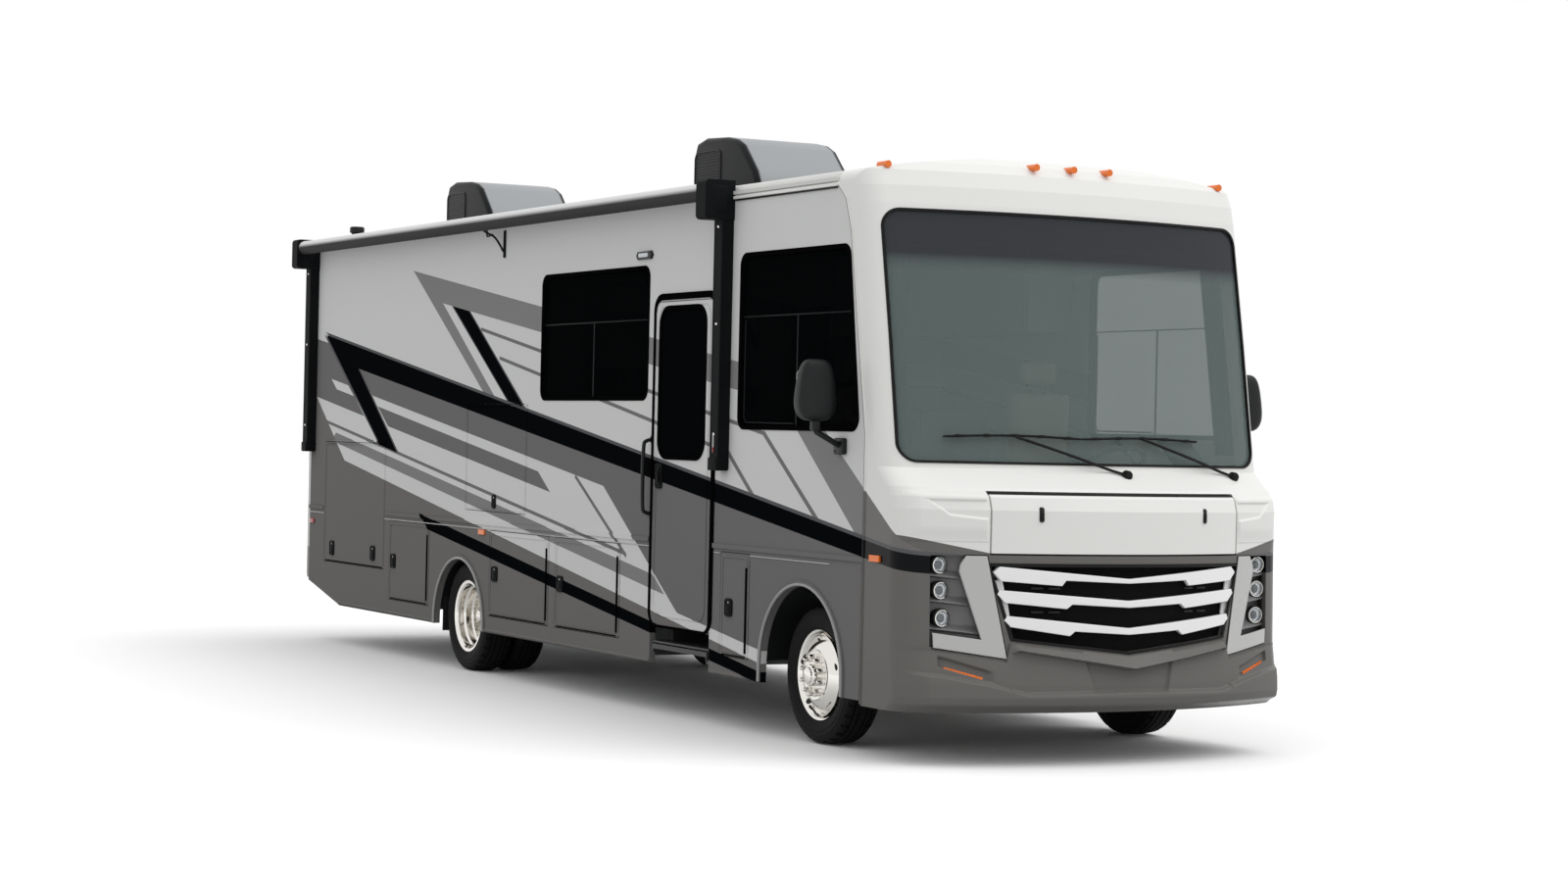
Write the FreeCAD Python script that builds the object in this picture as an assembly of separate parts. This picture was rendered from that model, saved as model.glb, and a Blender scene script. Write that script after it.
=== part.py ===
# A gas-engined class A motorhome on a truck chassis, at its real size, in millimetres.
# +X points forward, +Y to the driver's side, +Z up. The origin is on the ground, at the
# middle of the whole length and width. The entry door is on the -Y side.
import FreeCAD
import Part
import math
import os

V = FreeCAD.Vector

# Driving dimensions of the whole vehicle
WHEELBASE = 5283.0
FRONT_OVERHANG = 1480.0
REAR_OVERHANG = 3417.0
REAR_FITTINGS = 80.0          # how far the ladder stands behind the rear wall
BODY_WIDTH = 2565.0
SKIRT_BOTTOM = 317.0
BELT_HEIGHT = 1115.0          # top of the skirts, and of the house floor
WALL_TOP = 3225.0
ROOF_CENTRE = 3405.0
ROOF_CORNER = 75.0
WALL_THICKNESS = 40.0
SKIRT_THICKNESS = 40.0
ROOF_THICKNESS = 60.0
FLOOR_THICKNESS = 55.0
CAP_THICKNESS = 35.0
GAP = 5.0                     # shut line round every door and lid
BARREL = 6.0                  # radius of a door hinge's barrel

# Wheels and tyres
TYRE_RADIUS = 400.0
TYRE_WIDTH = 228.0
RIM_RADIUS = 248.0            # bead seat
RIM_WIDTH = 180.0
FLANGE = 14.0
FRONT_TRACK = 2114.0
DUAL_OUTER_TRACK = 2220.0
DUAL_SPACING = 262.0
RIM_DISC = 14.0
LUGS = 10
HAND_HOLES = 5
FRONT_DISC_OUT = 105.0        # the front wheel's disc stands outboard of its middle
KINGPIN_INSET = 150.0         # from the wheel's middle plane to the kingpin
KINGPIN_RADIUS = 22.0
STEER_GAP = 6.0

# Chassis
RAIL_SPACING = 864.0          # over the outsides of the rails
RAIL_HEIGHT = 215.0
RAIL_FLANGE = 76.0
RAIL_WEB = 10.0
RAIL_TOP = 955.0

# Worked out from the above
length = FRONT_OVERHANG + WHEELBASE + REAR_OVERHANG + REAR_FITTINGS
nose_x = length / 2
front_axle_x = nose_x - FRONT_OVERHANG
rear_axle_x = front_axle_x - WHEELBASE
rear_x = rear_axle_x - REAR_OVERHANG
half_width = BODY_WIDTH / 2
wall_inner = half_width - WALL_THICKNESS
skirt_inner = half_width - SKIRT_THICKNESS
floor_bottom = BELT_HEIGHT - FLOOR_THICKNESS
rail_bottom = RAIL_TOP - RAIL_HEIGHT
axle_z = TYRE_RADIUS


def ax(distance):
    """A place along the vehicle, measured forward from the front axle."""
    return front_axle_x + distance


# Seam between the side walls and the moulded front cap, from the bottom up
SEAM_FORWARD = 712.0
SEAM_BEND = 1800.0
SEAM = [(SEAM_FORWARD, SEAM_BEND), (504.0, 2950.0), (436.0, 3130.0), (330.0, WALL_TOP)]

# Openings in the entry side, each (rear, front, bottom, top), measured from the front axle
ENTRY_DOOR = (-2015.0, -1190.0, 565.0, 2610.0)
GARAGE_DOOR = (-8284.0, -6880.0, 665.0, 1640.0)
SCREEN_HATCH = (-5200.0, -4080.0, 1190.0, 1950.0)
BAY_DOORS_RIGHT = {
    "bay_door_rear": (-6755.0, -5915.0, 440.0, 1050.0),
    "bay_door_middle": (-4715.0, -3658.0, 440.0, 1050.0),
    "bay_door_front": (-3540.0, -2497.0, 440.0, 1050.0),
    "bay_door_cab": (-1035.0, -665.0, 440.0, 1065.0),
}
BAY_DOORS_LEFT = {
    "bay_door_left_rear": (-4715.0, -3658.0, 440.0, 1050.0),
    "bay_door_left_front": (-3540.0, -2497.0, 440.0, 1050.0),
}
HOUSE_WINDOW = (-3860.0, -2125.0, 1985.0, 2855.0)
DOOR_WINDOW = (-1940.0, -1315.0, 1635.0, 2565.0)
BEDROOM_WINDOW = (-8000.0, -7200.0, 2000.0, 2600.0)
WINDOW_RADIUS = 80.0
CAB_WINDOW_REAR = -860.0
CAB_WINDOW_BOTTOM = 1812.0
CAB_WINDOW_TOP = 2875.0
CAB_WINDOW_FRONT_TOP = 490.0
CAB_WINDOW_FRONT_BOTTOM = 640.0
GLASS_THICKNESS = 6.0
FRAME_WIDTH = 28.0
DOOR_RADIUS = 60.0

# Slide-out room in the driver's side wall
SLIDE = (-6650.0, -2700.0, 1165.0, 2990.0)
SLIDE_DEPTH = 900.0
SLIDE_WALL = 45.0
SLIDE_FLANGE = 40.0
SLIDE_GAP = 8.0
SLIDE_TRAVEL = 700.0
SEAT = 0.3                    # running clearance where a moving piece rests

# Wheel arches
ARCH_RADIUS_FRONT = 492.0
ARCH_CENTRE_FRONT = 425.0
ARCH_RADIUS_REAR = 475.0
ARCH_CENTRE_REAR = 345.0
ARCH_LIP = 30.0
ARCH_LIP_PROUD = 12.0


def box(x0, x1, y0, y1, z0, z1):
    return Part.makeBox(x1 - x0, y1 - y0, z1 - z0, V(x0, y0, z0))


def cylinder(radius, start, end):
    a, b = V(*start), V(*end)
    return Part.makeCylinder(radius, (b - a).Length, a, b - a)


def fuse(shapes):
    whole = shapes[0]
    if len(shapes) > 1:
        whole = whole.multiFuse(shapes[1:])
    return whole.removeSplitter()


def plate(points, y0, y1):
    """A flat plate: its outline in the XZ plane, from y0 to y1."""
    corners = [V(x, y0, z) for x, z in points]
    face = Part.Face(Part.makePolygon(corners + corners[:1]))
    return face.extrude(V(0, y1 - y0, 0))


def rounded_plate(rect, radius, y0, y1):
    """A plate with rounded corners: rect is (x low, x high, z low, z high)."""
    x0, x1, z0, z1 = rect
    solid = box(x0, x1, min(y0, y1), max(y0, y1), z0, z1)
    if radius <= 0:
        return solid
    edges = [e for e in solid.Edges if abs(abs(e.tangentAt(e.FirstParameter).y) - 1) < 1e-6]
    return solid.makeFillet(min(radius, 0.49 * (x1 - x0), 0.49 * (z1 - z0)), edges)


def at_axle(rect, grow=0.0):
    """An opening's rectangle in the part's own coordinates, grown all round."""
    rear, front, low, high = rect
    return (ax(rear) - grow, ax(front) + grow, low - grow, high + grow)


def side_box(side, rect, depth_in, depth_out):
    """A block across the wall on one side: side is -1 or +1."""
    x0, x1, z0, z1 = rect
    ys = sorted((side * (half_width - depth_in), side * (half_width + depth_out)))
    return box(x0, x1, ys[0], ys[1], z0, z1)


def side_plate(side, rect, radius, depth_in, depth_out):
    ys = sorted((side * (half_width - depth_in), side * (half_width + depth_out)))
    return rounded_plate(rect, radius, ys[0], ys[1])


def mirrored(shape):
    return shape.mirror(V(0, 0, 0), V(0, 1, 0))


def seam_points():
    return [(ax(x), z) for x, z in SEAM]


def cab_window_outline(grow=0.0):
    """The cab's side window leans with the windscreen pillar."""
    return [
        (ax(CAB_WINDOW_REAR) - grow, CAB_WINDOW_BOTTOM - grow),
        (ax(CAB_WINDOW_FRONT_BOTTOM) + grow, CAB_WINDOW_BOTTOM - grow),
        (ax(CAB_WINDOW_FRONT_TOP) + grow, CAB_WINDOW_TOP + grow),
        (ax(CAB_WINDOW_REAR) - grow, CAB_WINDOW_TOP + grow),
    ]


def cab_window(side, grow, radius, depth_in, depth_out):
    ys = sorted((side * (half_width - depth_in), side * (half_width + depth_out)))
    solid = plate(cab_window_outline(grow), ys[0], ys[1])
    edges = [e for e in solid.Edges if abs(abs(e.tangentAt(e.FirstParameter).y) - 1) < 1e-6]
    return solid.makeFillet(radius, edges)


# Body shell

def roof_profile(inset, x, bottom):
    """The body's outline across the vehicle, taken in by inset."""
    hw = half_width - inset
    r = max(ROOF_CORNER - inset, 5.0)
    edge = WALL_TOP + ROOF_CORNER - inset
    top = ROOF_CENTRE - inset
    q = r * (1 - math.sqrt(0.5))
    edges = [
        Part.Arc(V(x, -hw, edge - r), V(x, -hw + q, edge - q), V(x, -hw + r, edge)).toShape(),
        Part.Arc(V(x, -hw + r, edge), V(x, 0, top), V(x, hw - r, edge)).toShape(),
        Part.Arc(V(x, hw - r, edge), V(x, hw - q, edge - q), V(x, hw, edge - r)).toShape(),
    ]
    corners = [V(x, hw, edge - r), V(x, hw, bottom), V(x, -hw, bottom), V(x, -hw, edge - r)]
    for a, b in zip(corners, corners[1:]):
        if a.distanceToPoint(b) > 0.01:
            edges.append(Part.LineSegment(a, b).toShape())
    return Part.Face(Part.Wire(edges))


def behind_seam(y_reach):
    """Everything behind the seam with the front cap."""
    points = [(rear_x - 100, 0), (ax(SEAM_FORWARD), 0)] + seam_points()
    points += [(ax(SEAM[-1][0]), ROOF_CENTRE + 200), (rear_x - 100, ROOF_CENTRE + 200)]
    return plate(points, -y_reach, y_reach)


def make_roof():
    x0 = rear_x + WALL_THICKNESS
    run = V(ax(SEAM[-1][0]) - x0, 0, 0)
    outer = roof_profile(0, x0, WALL_TOP).extrude(run)
    inner = roof_profile(ROOF_THICKNESS, x0, WALL_TOP - 50).extrude(run)
    roof = outer.cut(inner)
    gutters = []
    for side in (-1, 1):
        ys = sorted((side * half_width, side * (half_width + 14)))
        gutters.append(box(x0, x0 + run.x, ys[0], ys[1], WALL_TOP + 8, WALL_TOP + 30))
    return fuse([roof] + gutters)


def make_rear_wall():
    wall = roof_profile(0, rear_x, SKIRT_BOTTOM + 190).extrude(V(WALL_THICKNESS, 0, 0))
    return wall


def wall_blank(side):
    x0 = rear_x + WALL_THICKNESS
    points = [(x0, BELT_HEIGHT), (ax(SEAM_FORWARD), BELT_HEIGHT)] + seam_points()
    points += [(x0, WALL_TOP)]
    ys = sorted((side * wall_inner, side * half_width))
    return plate(points, ys[0], ys[1])


def make_wall_right():
    side = -1
    wall = wall_blank(side)
    deep = WALL_THICKNESS + 10
    cuts = [
        side_box(side, door_hole(ENTRY_DOOR), deep, 10),
        side_box(side, lid_hole(GARAGE_DOOR), deep, 10),
        side_box(side, lid_hole(SCREEN_HATCH), deep, 10),
        side_plate(side, at_axle(HOUSE_WINDOW), WINDOW_RADIUS, deep, 10),
        cab_window(side, 0, WINDOW_RADIUS, deep, 10),
    ]
    wall = wall.cut(cuts[0].multiFuse(cuts[1:]))
    knuckles = [hinge_pieces(side, ENTRY_DOOR, True)[2][1]]
    knuckles += hinge_pieces(side, GARAGE_DOOR, False)[2] + hinge_pieces(side, SCREEN_HATCH, False)[2]
    return fuse([wall] + knuckles)


def make_wall_left():
    side = 1
    wall = wall_blank(side)
    deep = WALL_THICKNESS + 10
    cuts = [
        side_box(side, at_axle(SLIDE, SLIDE_GAP), deep, 10),
        side_box(side, lid_hole(GARAGE_DOOR), deep, 10),
        side_plate(side, at_axle(BEDROOM_WINDOW), WINDOW_RADIUS, deep, 10),
        cab_window(side, 0, WINDOW_RADIUS, deep, 10),
    ]
    wall = wall.cut(cuts[0].multiFuse(cuts[1:]))
    return fuse([wall] + hinge_pieces(side, GARAGE_DOOR, False)[2])


def door_hole(rect):
    """The hole round a side-hinged door, with room for the hinge barrel at its front."""
    x0, x1, z0, z1 = at_axle(rect, GAP)
    return (x0, x1 + BARREL, z0, z1)


def lid_hole(rect):
    """The hole round a top-hinged lid, with room for the hinge barrel at its top."""
    x0, x1, z0, z1 = at_axle(rect, GAP)
    return (x0, x1, z0, z1 + BARREL)


def arch_cutter(side, axle, radius, centre, depth_in, depth_out):
    ys = sorted((side * (half_width - depth_in), side * (half_width + depth_out)))
    round_part = cylinder(radius, (axle, ys[0], centre), (axle, ys[1], centre))
    leg = box(axle - radius, axle + radius, ys[0], ys[1], 0, centre)
    return round_part.fuse(leg)


def make_skirt(side, bays):
    """One side below the belt, from the rear wall to the front cap."""
    x0 = rear_x + WALL_THICKNESS
    x1 = ax(SEAM_FORWARD)
    points = [
        (x0, SKIRT_BOTTOM + 190), (rear_axle_x - 2600, SKIRT_BOTTOM),
        (x1, SKIRT_BOTTOM), (x1, BELT_HEIGHT), (x0, BELT_HEIGHT),
    ]
    ys = sorted((side * skirt_inner, side * half_width))
    skirt = plate(points, ys[0], ys[1])
    lips = []
    for axle, radius, centre in (
        (front_axle_x, ARCH_RADIUS_FRONT, ARCH_CENTRE_FRONT),
        (rear_axle_x, ARCH_RADIUS_REAR, ARCH_CENTRE_REAR),
    ):
        lip = arch_cutter(side, axle, radius + ARCH_LIP, centre, 5, ARCH_LIP_PROUD)
        lips.append(lip.common(box(axle - 900, axle + 900, -2000, 2000, SKIRT_BOTTOM, 2000)))
    skirt = skirt.multiFuse(lips)
    holes = [
        arch_cutter(side, front_axle_x, ARCH_RADIUS_FRONT, ARCH_CENTRE_FRONT, 60, 60),
        arch_cutter(side, rear_axle_x, ARCH_RADIUS_REAR, ARCH_CENTRE_REAR, 60, 60),
        side_box(side, lid_hole(GARAGE_DOOR), SKIRT_THICKNESS + 10, 10),
    ]
    holes += [side_box(side, door_hole(r), SKIRT_THICKNESS + 10, 10) for r in bays]
    if side < 0:
        door = door_hole(ENTRY_DOOR)
        holes.append(side_box(side, (door[0], door[1], 0, door[3]), SKIRT_THICKNESS + 10, 10))
    skirt = skirt.cut(holes[0].multiFuse(holes[1:]))
    knuckles = []
    for rect in bays:
        knuckles += hinge_pieces(side, rect, True)[2]
    if side < 0:
        knuckles.append(hinge_pieces(side, ENTRY_DOOR, True)[2][0])
    return fuse([skirt] + belt_moulding(side) + knuckles)


BELT_TALL = 28.0
BELT_PROUD = 10.0


def belt_moulding(side):
    """The raised strip along the top of the skirt, broken at the doors that cross it."""
    stretches = [(rear_x + WALL_THICKNESS, ax(GARAGE_DOOR[0]) - 30),
                 (ax(GARAGE_DOOR[1]) + 30, ax(SEAM_FORWARD))]
    if side < 0:
        stretches = [stretches[0], (stretches[1][0], ax(ENTRY_DOOR[0]) - 45),
                     (ax(ENTRY_DOOR[1]) + 45, stretches[1][1])]
    ys = sorted((side * (half_width - 5), side * (half_width + BELT_PROUD)))
    return [box(a, b, ys[0], ys[1], BELT_HEIGHT - BELT_TALL, BELT_HEIGHT) for a, b in stretches]


STEP_WELL_INNER = 720.0
TUB = 12.0
STEP_TREAD_Z = 820.0


def step_well_x():
    return ax(ENTRY_DOOR[0]) - 5, ax(ENTRY_DOOR[1]) + 15


def make_floor():
    """The house floor, notched for the step well, from the garage to the dash."""
    x0 = ax(GARAGE_DOOR[1]) + 60
    x1 = ax(SEAM_FORWARD) + 150
    floor = box(x0, x1, -wall_inner, wall_inner, floor_bottom, BELT_HEIGHT)
    xa, xb = step_well_x()
    well = box(xa, xb, -wall_inner - 1, -STEP_WELL_INNER, floor_bottom - 1, BELT_HEIGHT + 1)
    return floor.cut(well)


def make_step_well():
    """Two steps up from the door sill to the floor, as one folded tub."""
    x0, x1 = step_well_x()
    sill = ENTRY_DOOR[2] - 10
    y_out, y_in = -skirt_inner + 6, -STEP_WELL_INNER
    y_mid = (y_out + y_in) / 2
    folded = [
        box(x0, x0 + TUB, y_out, y_in, sill - TUB, BELT_HEIGHT),
        box(x1 - TUB, x1, y_out, y_in, sill - TUB, BELT_HEIGHT),
        box(x0, x1, y_out, y_mid, sill - TUB, sill),
        box(x0, x1, y_mid - TUB, y_mid, sill - TUB, STEP_TREAD_Z),
        box(x0, x1, y_mid - TUB, y_in, STEP_TREAD_Z - TUB, STEP_TREAD_Z),
        box(x0, x1, y_in - TUB, y_in, STEP_TREAD_Z - TUB, BELT_HEIGHT),
    ]
    return [fuse(folded)] + step_housing()


# Front cap

NOSE = [
    # height, furthest forward from the front axle, front radius, corner radius
    (290.0, 1400.0, 2900.0, 210.0),
    (335.0, 1465.0, 2750.0, 200.0),
    (380.0, FRONT_OVERHANG, 2700.0, 190.0),
    (450.0, 1476.0, 2700.0, 185.0),
    (620.0, 1452.0, 2650.0, 180.0),
    (1160.0, 1440.0, 2650.0, 180.0),
    (1400.0, 1440.0, 2650.0, 180.0),
    (1470.0, 1415.0, 2700.0, 180.0),
    (1520.0, 1350.0, 2900.0, 175.0),
    (1625.0, 1150.0, 3700.0, 165.0),
    (2360.0, 1000.0, 4200.0, 150.0),
    (3100.0, 862.0, 4200.0, 150.0),
    (3200.0, 836.0, 4200.0, 150.0),
    (3290.0, 795.0, 4200.0, 160.0),
    (3345.0, 735.0, 4200.0, 180.0),
    (3385.0, 640.0, 4200.0, 200.0),
    (ROOF_CENTRE + 5, 480.0, 4200.0, 220.0),
]
CAP_BACK = -100.0


def nose_section(height, forward, front_radius, corner_radius, inset):
    """A slice of the nose: sides, two corner arcs and the bowed front, closed at the back."""
    hw = half_width - inset
    xn = ax(forward) - inset
    rf = front_radius - inset
    rc = corner_radius - min(inset, 0.5 * corner_radius)
    centre = xn - rf
    corner_x = centre + math.sqrt((rf - rc) ** 2 - (hw - rc) ** 2)
    angle = math.atan2(hw - rc, corner_x - centre)
    touch = V(centre + rf * math.cos(angle), rf * math.sin(angle), height)
    half = (angle + math.pi / 2) / 2
    mid = V(corner_x + rc * math.cos(half), hw - rc + rc * math.sin(half), height)
    back = ax(CAP_BACK)
    flip = lambda p: V(p.x, -p.y, p.z)
    side_end = V(corner_x, hw, height)
    edges = [
        Part.LineSegment(V(back, -hw, height), flip(side_end)).toShape(),
        Part.Arc(flip(side_end), flip(mid), flip(touch)).toShape(),
        Part.Arc(flip(touch), V(xn, 0, height), touch).toShape(),
        Part.Arc(touch, mid, side_end).toShape(),
        Part.LineSegment(side_end, V(back, hw, height)).toShape(),
        Part.LineSegment(V(back, hw, height), V(back, -hw, height)).toShape(),
    ]
    return Part.Wire(edges)


NOSE_SOLIDS = {}


def nose_solid(inset):
    """The whole nose, taken in by inset. Each is made once."""
    if inset not in NOSE_SOLIDS:
        rows = NOSE if inset <= 0 else NOSE[:-1]
        loft = Part.makeLoft([nose_section(*row, inset) for row in rows], True, True)
        envelope = roof_profile(inset, ax(CAP_BACK) - 10, NOSE[0][0] - 50)
        NOSE_SOLIDS[inset] = loft.common(envelope.extrude(V(3000, 0, 0)))
    return NOSE_SOLIDS[inset]


def nose_skin(outside, inside):
    """The layer of the nose between two depths."""
    return nose_solid(outside).cut(nose_solid(inside))


WINDSCREEN_LOW = 1650.0
WINDSCREEN_HIGH = 3070.0
WINDSCREEN_HALF = 1215.0
HOOD_HALF = 820.0
HOOD_LOW = 1165.0
HOOD_HIGH = 1485.0
HOOD_GAP = 10.0
HOOD_TOP_GAP = 19.0
HOOD_THICKNESS = 20.0
HOOD_AXIS = (1228.0, 1516.0)   # from the front axle, and up
HOOD_HINGE_Y = 500.0
HINGE_PIN = 8.0
GRILLE_HALF_TOP = 830.0
GRILLE_HALF_LOW = 700.0
GRILLE_TOP = 1095.0
GRILLE_LOW = 700.0
GRILLE_POINT = 625.0
LAMP_OUT = 1135.0
LAMP_TOP = 1150.0
LAMP_LOW = 650.0


def across(points, x0, x1):
    """A block along X: its outline in the YZ plane."""
    corners = [V(x0, y, z) for y, z in points]
    face = Part.Face(Part.makePolygon(corners + corners[:1]))
    return face.extrude(V(x1 - x0, 0, 0))


def windscreen_cutter(grow):
    """The windscreen's opening seen from the front, with big round corners."""
    half = WINDSCREEN_HALF + grow
    x0, x1 = ax(300), ax(1700)
    solid = box(x0, x1, -half, half, WINDSCREEN_LOW - grow, WINDSCREEN_HIGH + grow)
    edges = [e for e in solid.Edges if abs(abs(e.tangentAt(e.FirstParameter).x) - 1) < 1e-6]
    return solid.makeFillet(110 + grow, edges)


def grille_outline(grow):
    top = GRILLE_HALF_TOP + grow
    low = GRILLE_HALF_LOW + grow
    return [(-top, GRILLE_TOP + grow), (-low, GRILLE_LOW - grow), (0, GRILLE_POINT - grow),
            (low, GRILLE_LOW - grow), (top, GRILLE_TOP + grow)]


def lamp_outline(side, grow=0.0):
    """The recess for the three stacked lamps, wide at the bottom."""
    return [(side * (LAMP_OUT + grow), LAMP_TOP + grow), (side * (920 - grow), LAMP_TOP + grow),
            (side * (800 - 1.2 * grow), LAMP_LOW - grow), (side * (LAMP_OUT + grow), LAMP_LOW - grow)]


def hood_cutter(side_gap, top_gap):
    half = HOOD_HALF + side_gap
    return box(ax(900), ax(1700), -half, half, HOOD_LOW - side_gap, HOOD_HIGH + top_gap)


def make_front_cap():
    """The moulded nose, with brackets under the cowl for the hood's two hinges."""
    shell = nose_skin(0, CAP_THICKNESS).cut(behind_seam(2000))
    holes = [
        windscreen_cutter(0),
        hood_cutter(HOOD_GAP, HOOD_TOP_GAP),
        across(grille_outline(0), ax(900), ax(1700)),
        across(lamp_outline(-1), ax(900), ax(1700)),
        across(lamp_outline(1), ax(900), ax(1700)),
    ]
    for hole in holes:
        shell = shell.cut(hole)
    x, z = ax(HOOD_AXIS[0]), HOOD_AXIS[1]
    inside = nose_solid(CAP_THICKNESS - 2)
    extras = []
    for y in (-HOOD_HINGE_Y, HOOD_HINGE_Y):
        cheek = box(x - 14, x + 200, y + 10.5, y + 22, z - 14, z + 60).common(inside)
        pin = cylinder(HINGE_PIN, (x, y - 10, z), (x, y + 15, z))
        extras += [cheek, pin]
    return fuse([shell] + extras)


def gooseneck(y):
    """A strap that loops down under the cowl's lip, from the hinge pin to the hood."""
    x, z = ax(HOOD_AXIS[0]), HOOD_AXIS[1]
    path = [(0, 0), (-50, -95), (20, -132), (180, -100)]
    eye = cylinder(HINGE_PIN + 9, (x, y - 8, z), (x, y + 10, z))
    parts = [eye]
    for (xa, za), (xb, zb) in zip(path, path[1:]):
        run = math.hypot(xb - xa, zb - za)
        bar = Part.makeBox(run + 12, 18, 12, V(-6, y - 8, -6))
        bar.rotate(V(0, 0, 0), V(0, 1, 0), -math.degrees(math.atan2(zb - za, xb - xa)))
        bar.translate(V(x + xa, 0, z + za))
        parts.append(bar)
    return fuse(parts).cut(cylinder(HINGE_PIN + 0.3, (x, y - 50, z), (x, y + 50, z)))


def make_hood():
    leaf = nose_skin(0, HOOD_THICKNESS).common(hood_cutter(0, 0))
    reach = nose_solid(HOOD_THICKNESS - 2)
    return fuse([leaf] + [gooseneck(y).common(reach) for y in (-HOOD_HINGE_Y, HOOD_HINGE_Y)])


def make_windscreen():
    """One bowed sheet of glass, set in from the cap's outside."""
    return nose_skin(8, 8 + GLASS_THICKNESS).common(windscreen_cutter(-14)).cut(behind_seam(2000))


def make_windscreen_seal():
    ring = nose_skin(-6, CAP_THICKNESS).common(windscreen_cutter(0)).cut(windscreen_cutter(-14))
    return ring.cut(behind_seam(2000))


BAR_TOPS = [1075.0, 940.0, 805.0]
BAR_TALL = 72.0
BAR_DEPTH = 22.0
BAR_RISE = 55.0


def make_grille():
    """Three bright bars that dip to the middle, let into the cap in front of a mesh plate."""
    skin = nose_skin(-2, BAR_DEPTH)
    window = across(grille_outline(0), ax(900), ax(1700))
    seat = across(grille_outline(25), ax(900), ax(1700))
    parts = [nose_skin(CAP_THICKNESS, CAP_THICKNESS + 10).common(seat)]
    for top in BAR_TOPS:
        end, dip = top, top - BAR_RISE
        notch = 330.0
        foot = dip - BAR_TALL
        outline = [(-840, end), (0, dip), (840, end), (840, end - BAR_TALL),
                   (notch + 110, foot + 10), (notch + 80, foot + 42), (0, foot + 30),
                   (-notch - 80, foot + 42), (-notch - 110, foot + 10), (-840, end - BAR_TALL)]
        parts.append(skin.common(across(outline, ax(900), ax(1700))).common(window))
    return parts


LAMP_WELL = 80.0
LAMP_FACE = 1188.0


def make_lamps():
    """Two clusters of three round lamps, each in a tray behind the cap's skin."""
    parts = []
    for side in (-1, 1):
        back = across(lamp_outline(side, 14), ax(600), ax(1700))
        tray = nose_skin(CAP_THICKNESS, LAMP_WELL).common(back)
        hollow = nose_skin(CAP_THICKNESS - 5, LAMP_WELL - 10)
        tray = tray.cut(hollow.common(across(lamp_outline(side, 2), ax(600), ax(1700))))
        lamps = []
        for z, out in ((1090.0, 1070.0), (952.0, 1062.0), (805.0, 1050.0)):
            face = (ax(LAMP_FACE), side * out, z)
            lamps.append(cylinder(48, (face[0] - 130, face[1], z), face))
        lamps = [lamp.common(nose_skin(0, LAMP_WELL - 5)) for lamp in lamps]
        parts.append(fuse([tray] + lamps))
    return parts


# Glass and frames

def side_windows():
    return [(-1, at_axle(HOUSE_WINDOW)), (1, at_axle(BEDROOM_WINDOW))]


def make_side_glass():
    """Fixed panes in the side walls, one solid each."""
    panes = []
    for side, rect in side_windows():
        x0, x1, z0, z1 = rect
        inner = (x0 + FRAME_WIDTH, x1 - FRAME_WIDTH, z0 + FRAME_WIDTH, z1 - FRAME_WIDTH)
        panes.append(side_plate(side, inner, WINDOW_RADIUS - FRAME_WIDTH, 14 + GLASS_THICKNESS, -14))
    for side in (-1, 1):
        radius = WINDOW_RADIUS - FRAME_WIDTH
        panes.append(cab_window(side, -FRAME_WIDTH, radius, 14 + GLASS_THICKNESS, -14))
    return panes


def make_window_frames():
    frames = []
    for side, rect in side_windows():
        x0, x1, z0, z1 = rect
        inner = (x0 + FRAME_WIDTH, x1 - FRAME_WIDTH, z0 + FRAME_WIDTH, z1 - FRAME_WIDTH)
        outer = side_plate(side, rect, WINDOW_RADIUS, WALL_THICKNESS, 4)
        frames.append(outer.cut(side_plate(side, inner, WINDOW_RADIUS - FRAME_WIDTH, 60, 60)))
    for side in (-1, 1):
        outer = cab_window(side, 0, WINDOW_RADIUS, WALL_THICKNESS, 4)
        frames.append(outer.cut(cab_window(side, -FRAME_WIDTH, WINDOW_RADIUS - FRAME_WIDTH, 60, 60)))
    return frames


# Doors and lids

KNUCKLE = 30.0                # length of each fixed hinge knuckle
KNUCKLE_GAP = 0.3


def hinge_pieces(side, rect, upright):
    """A hinge on the outside corner of a door: the door's barrel, the room that the fixed
    knuckles need in the door, and the fixed knuckles with their leaves."""
    y = side * half_width
    x0, x1, z0, z1 = at_axle(rect)
    low, high = (z0, z1) if upright else (x0, x1)

    def along(radius, a, b):
        if upright:
            return cylinder(radius, (x1, y, a), (x1, y, b))
        return cylinder(radius, (a, y, z1), (b, y, z1))

    def leaf(a, b):
        ys = sorted((y, y - side * 5))
        if upright:
            return box(x1, x1 + GAP + BARREL + 4, ys[0], ys[1], a, b)
        return box(a, b, ys[0], ys[1], z1, z1 + GAP + BARREL + 4)

    spans = [(low + 10, low + 10 + KNUCKLE), (high - 10 - KNUCKLE, high - 10)]
    barrel = along(BARREL, spans[0][1] + KNUCKLE_GAP, spans[1][0] - KNUCKLE_GAP)
    room = [along(BARREL + 1, a - KNUCKLE_GAP, b + KNUCKLE_GAP) for a, b in spans]
    fixed = [fuse([along(BARREL, a, b), leaf(a, b)]) for a, b in spans]
    return barrel, room, fixed


def hinged(side, rect, thickness, upright):
    barrel, room, _ = hinge_pieces(side, rect, upright)
    leaf = side_plate(side, at_axle(rect), 0, thickness, 0)
    return fuse([leaf.cut(room[0].fuse(room[1])), barrel])


def side_door(side, rect, thickness):
    return hinged(side, rect, thickness, True)


def top_lid(side, rect, thickness):
    return hinged(side, rect, thickness, False)


def make_entry_door():
    door = side_door(-1, ENTRY_DOOR, WALL_THICKNESS)
    return door.cut(side_plate(-1, at_axle(DOOR_WINDOW), 70, 60, 60))


def make_entry_door_glass():
    return side_plate(-1, at_axle(DOOR_WINDOW), 70, 20, -8)


# Storage bays behind the doors

BAY_SHEET = 10.0
BAY_INNER = 560.0


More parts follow.
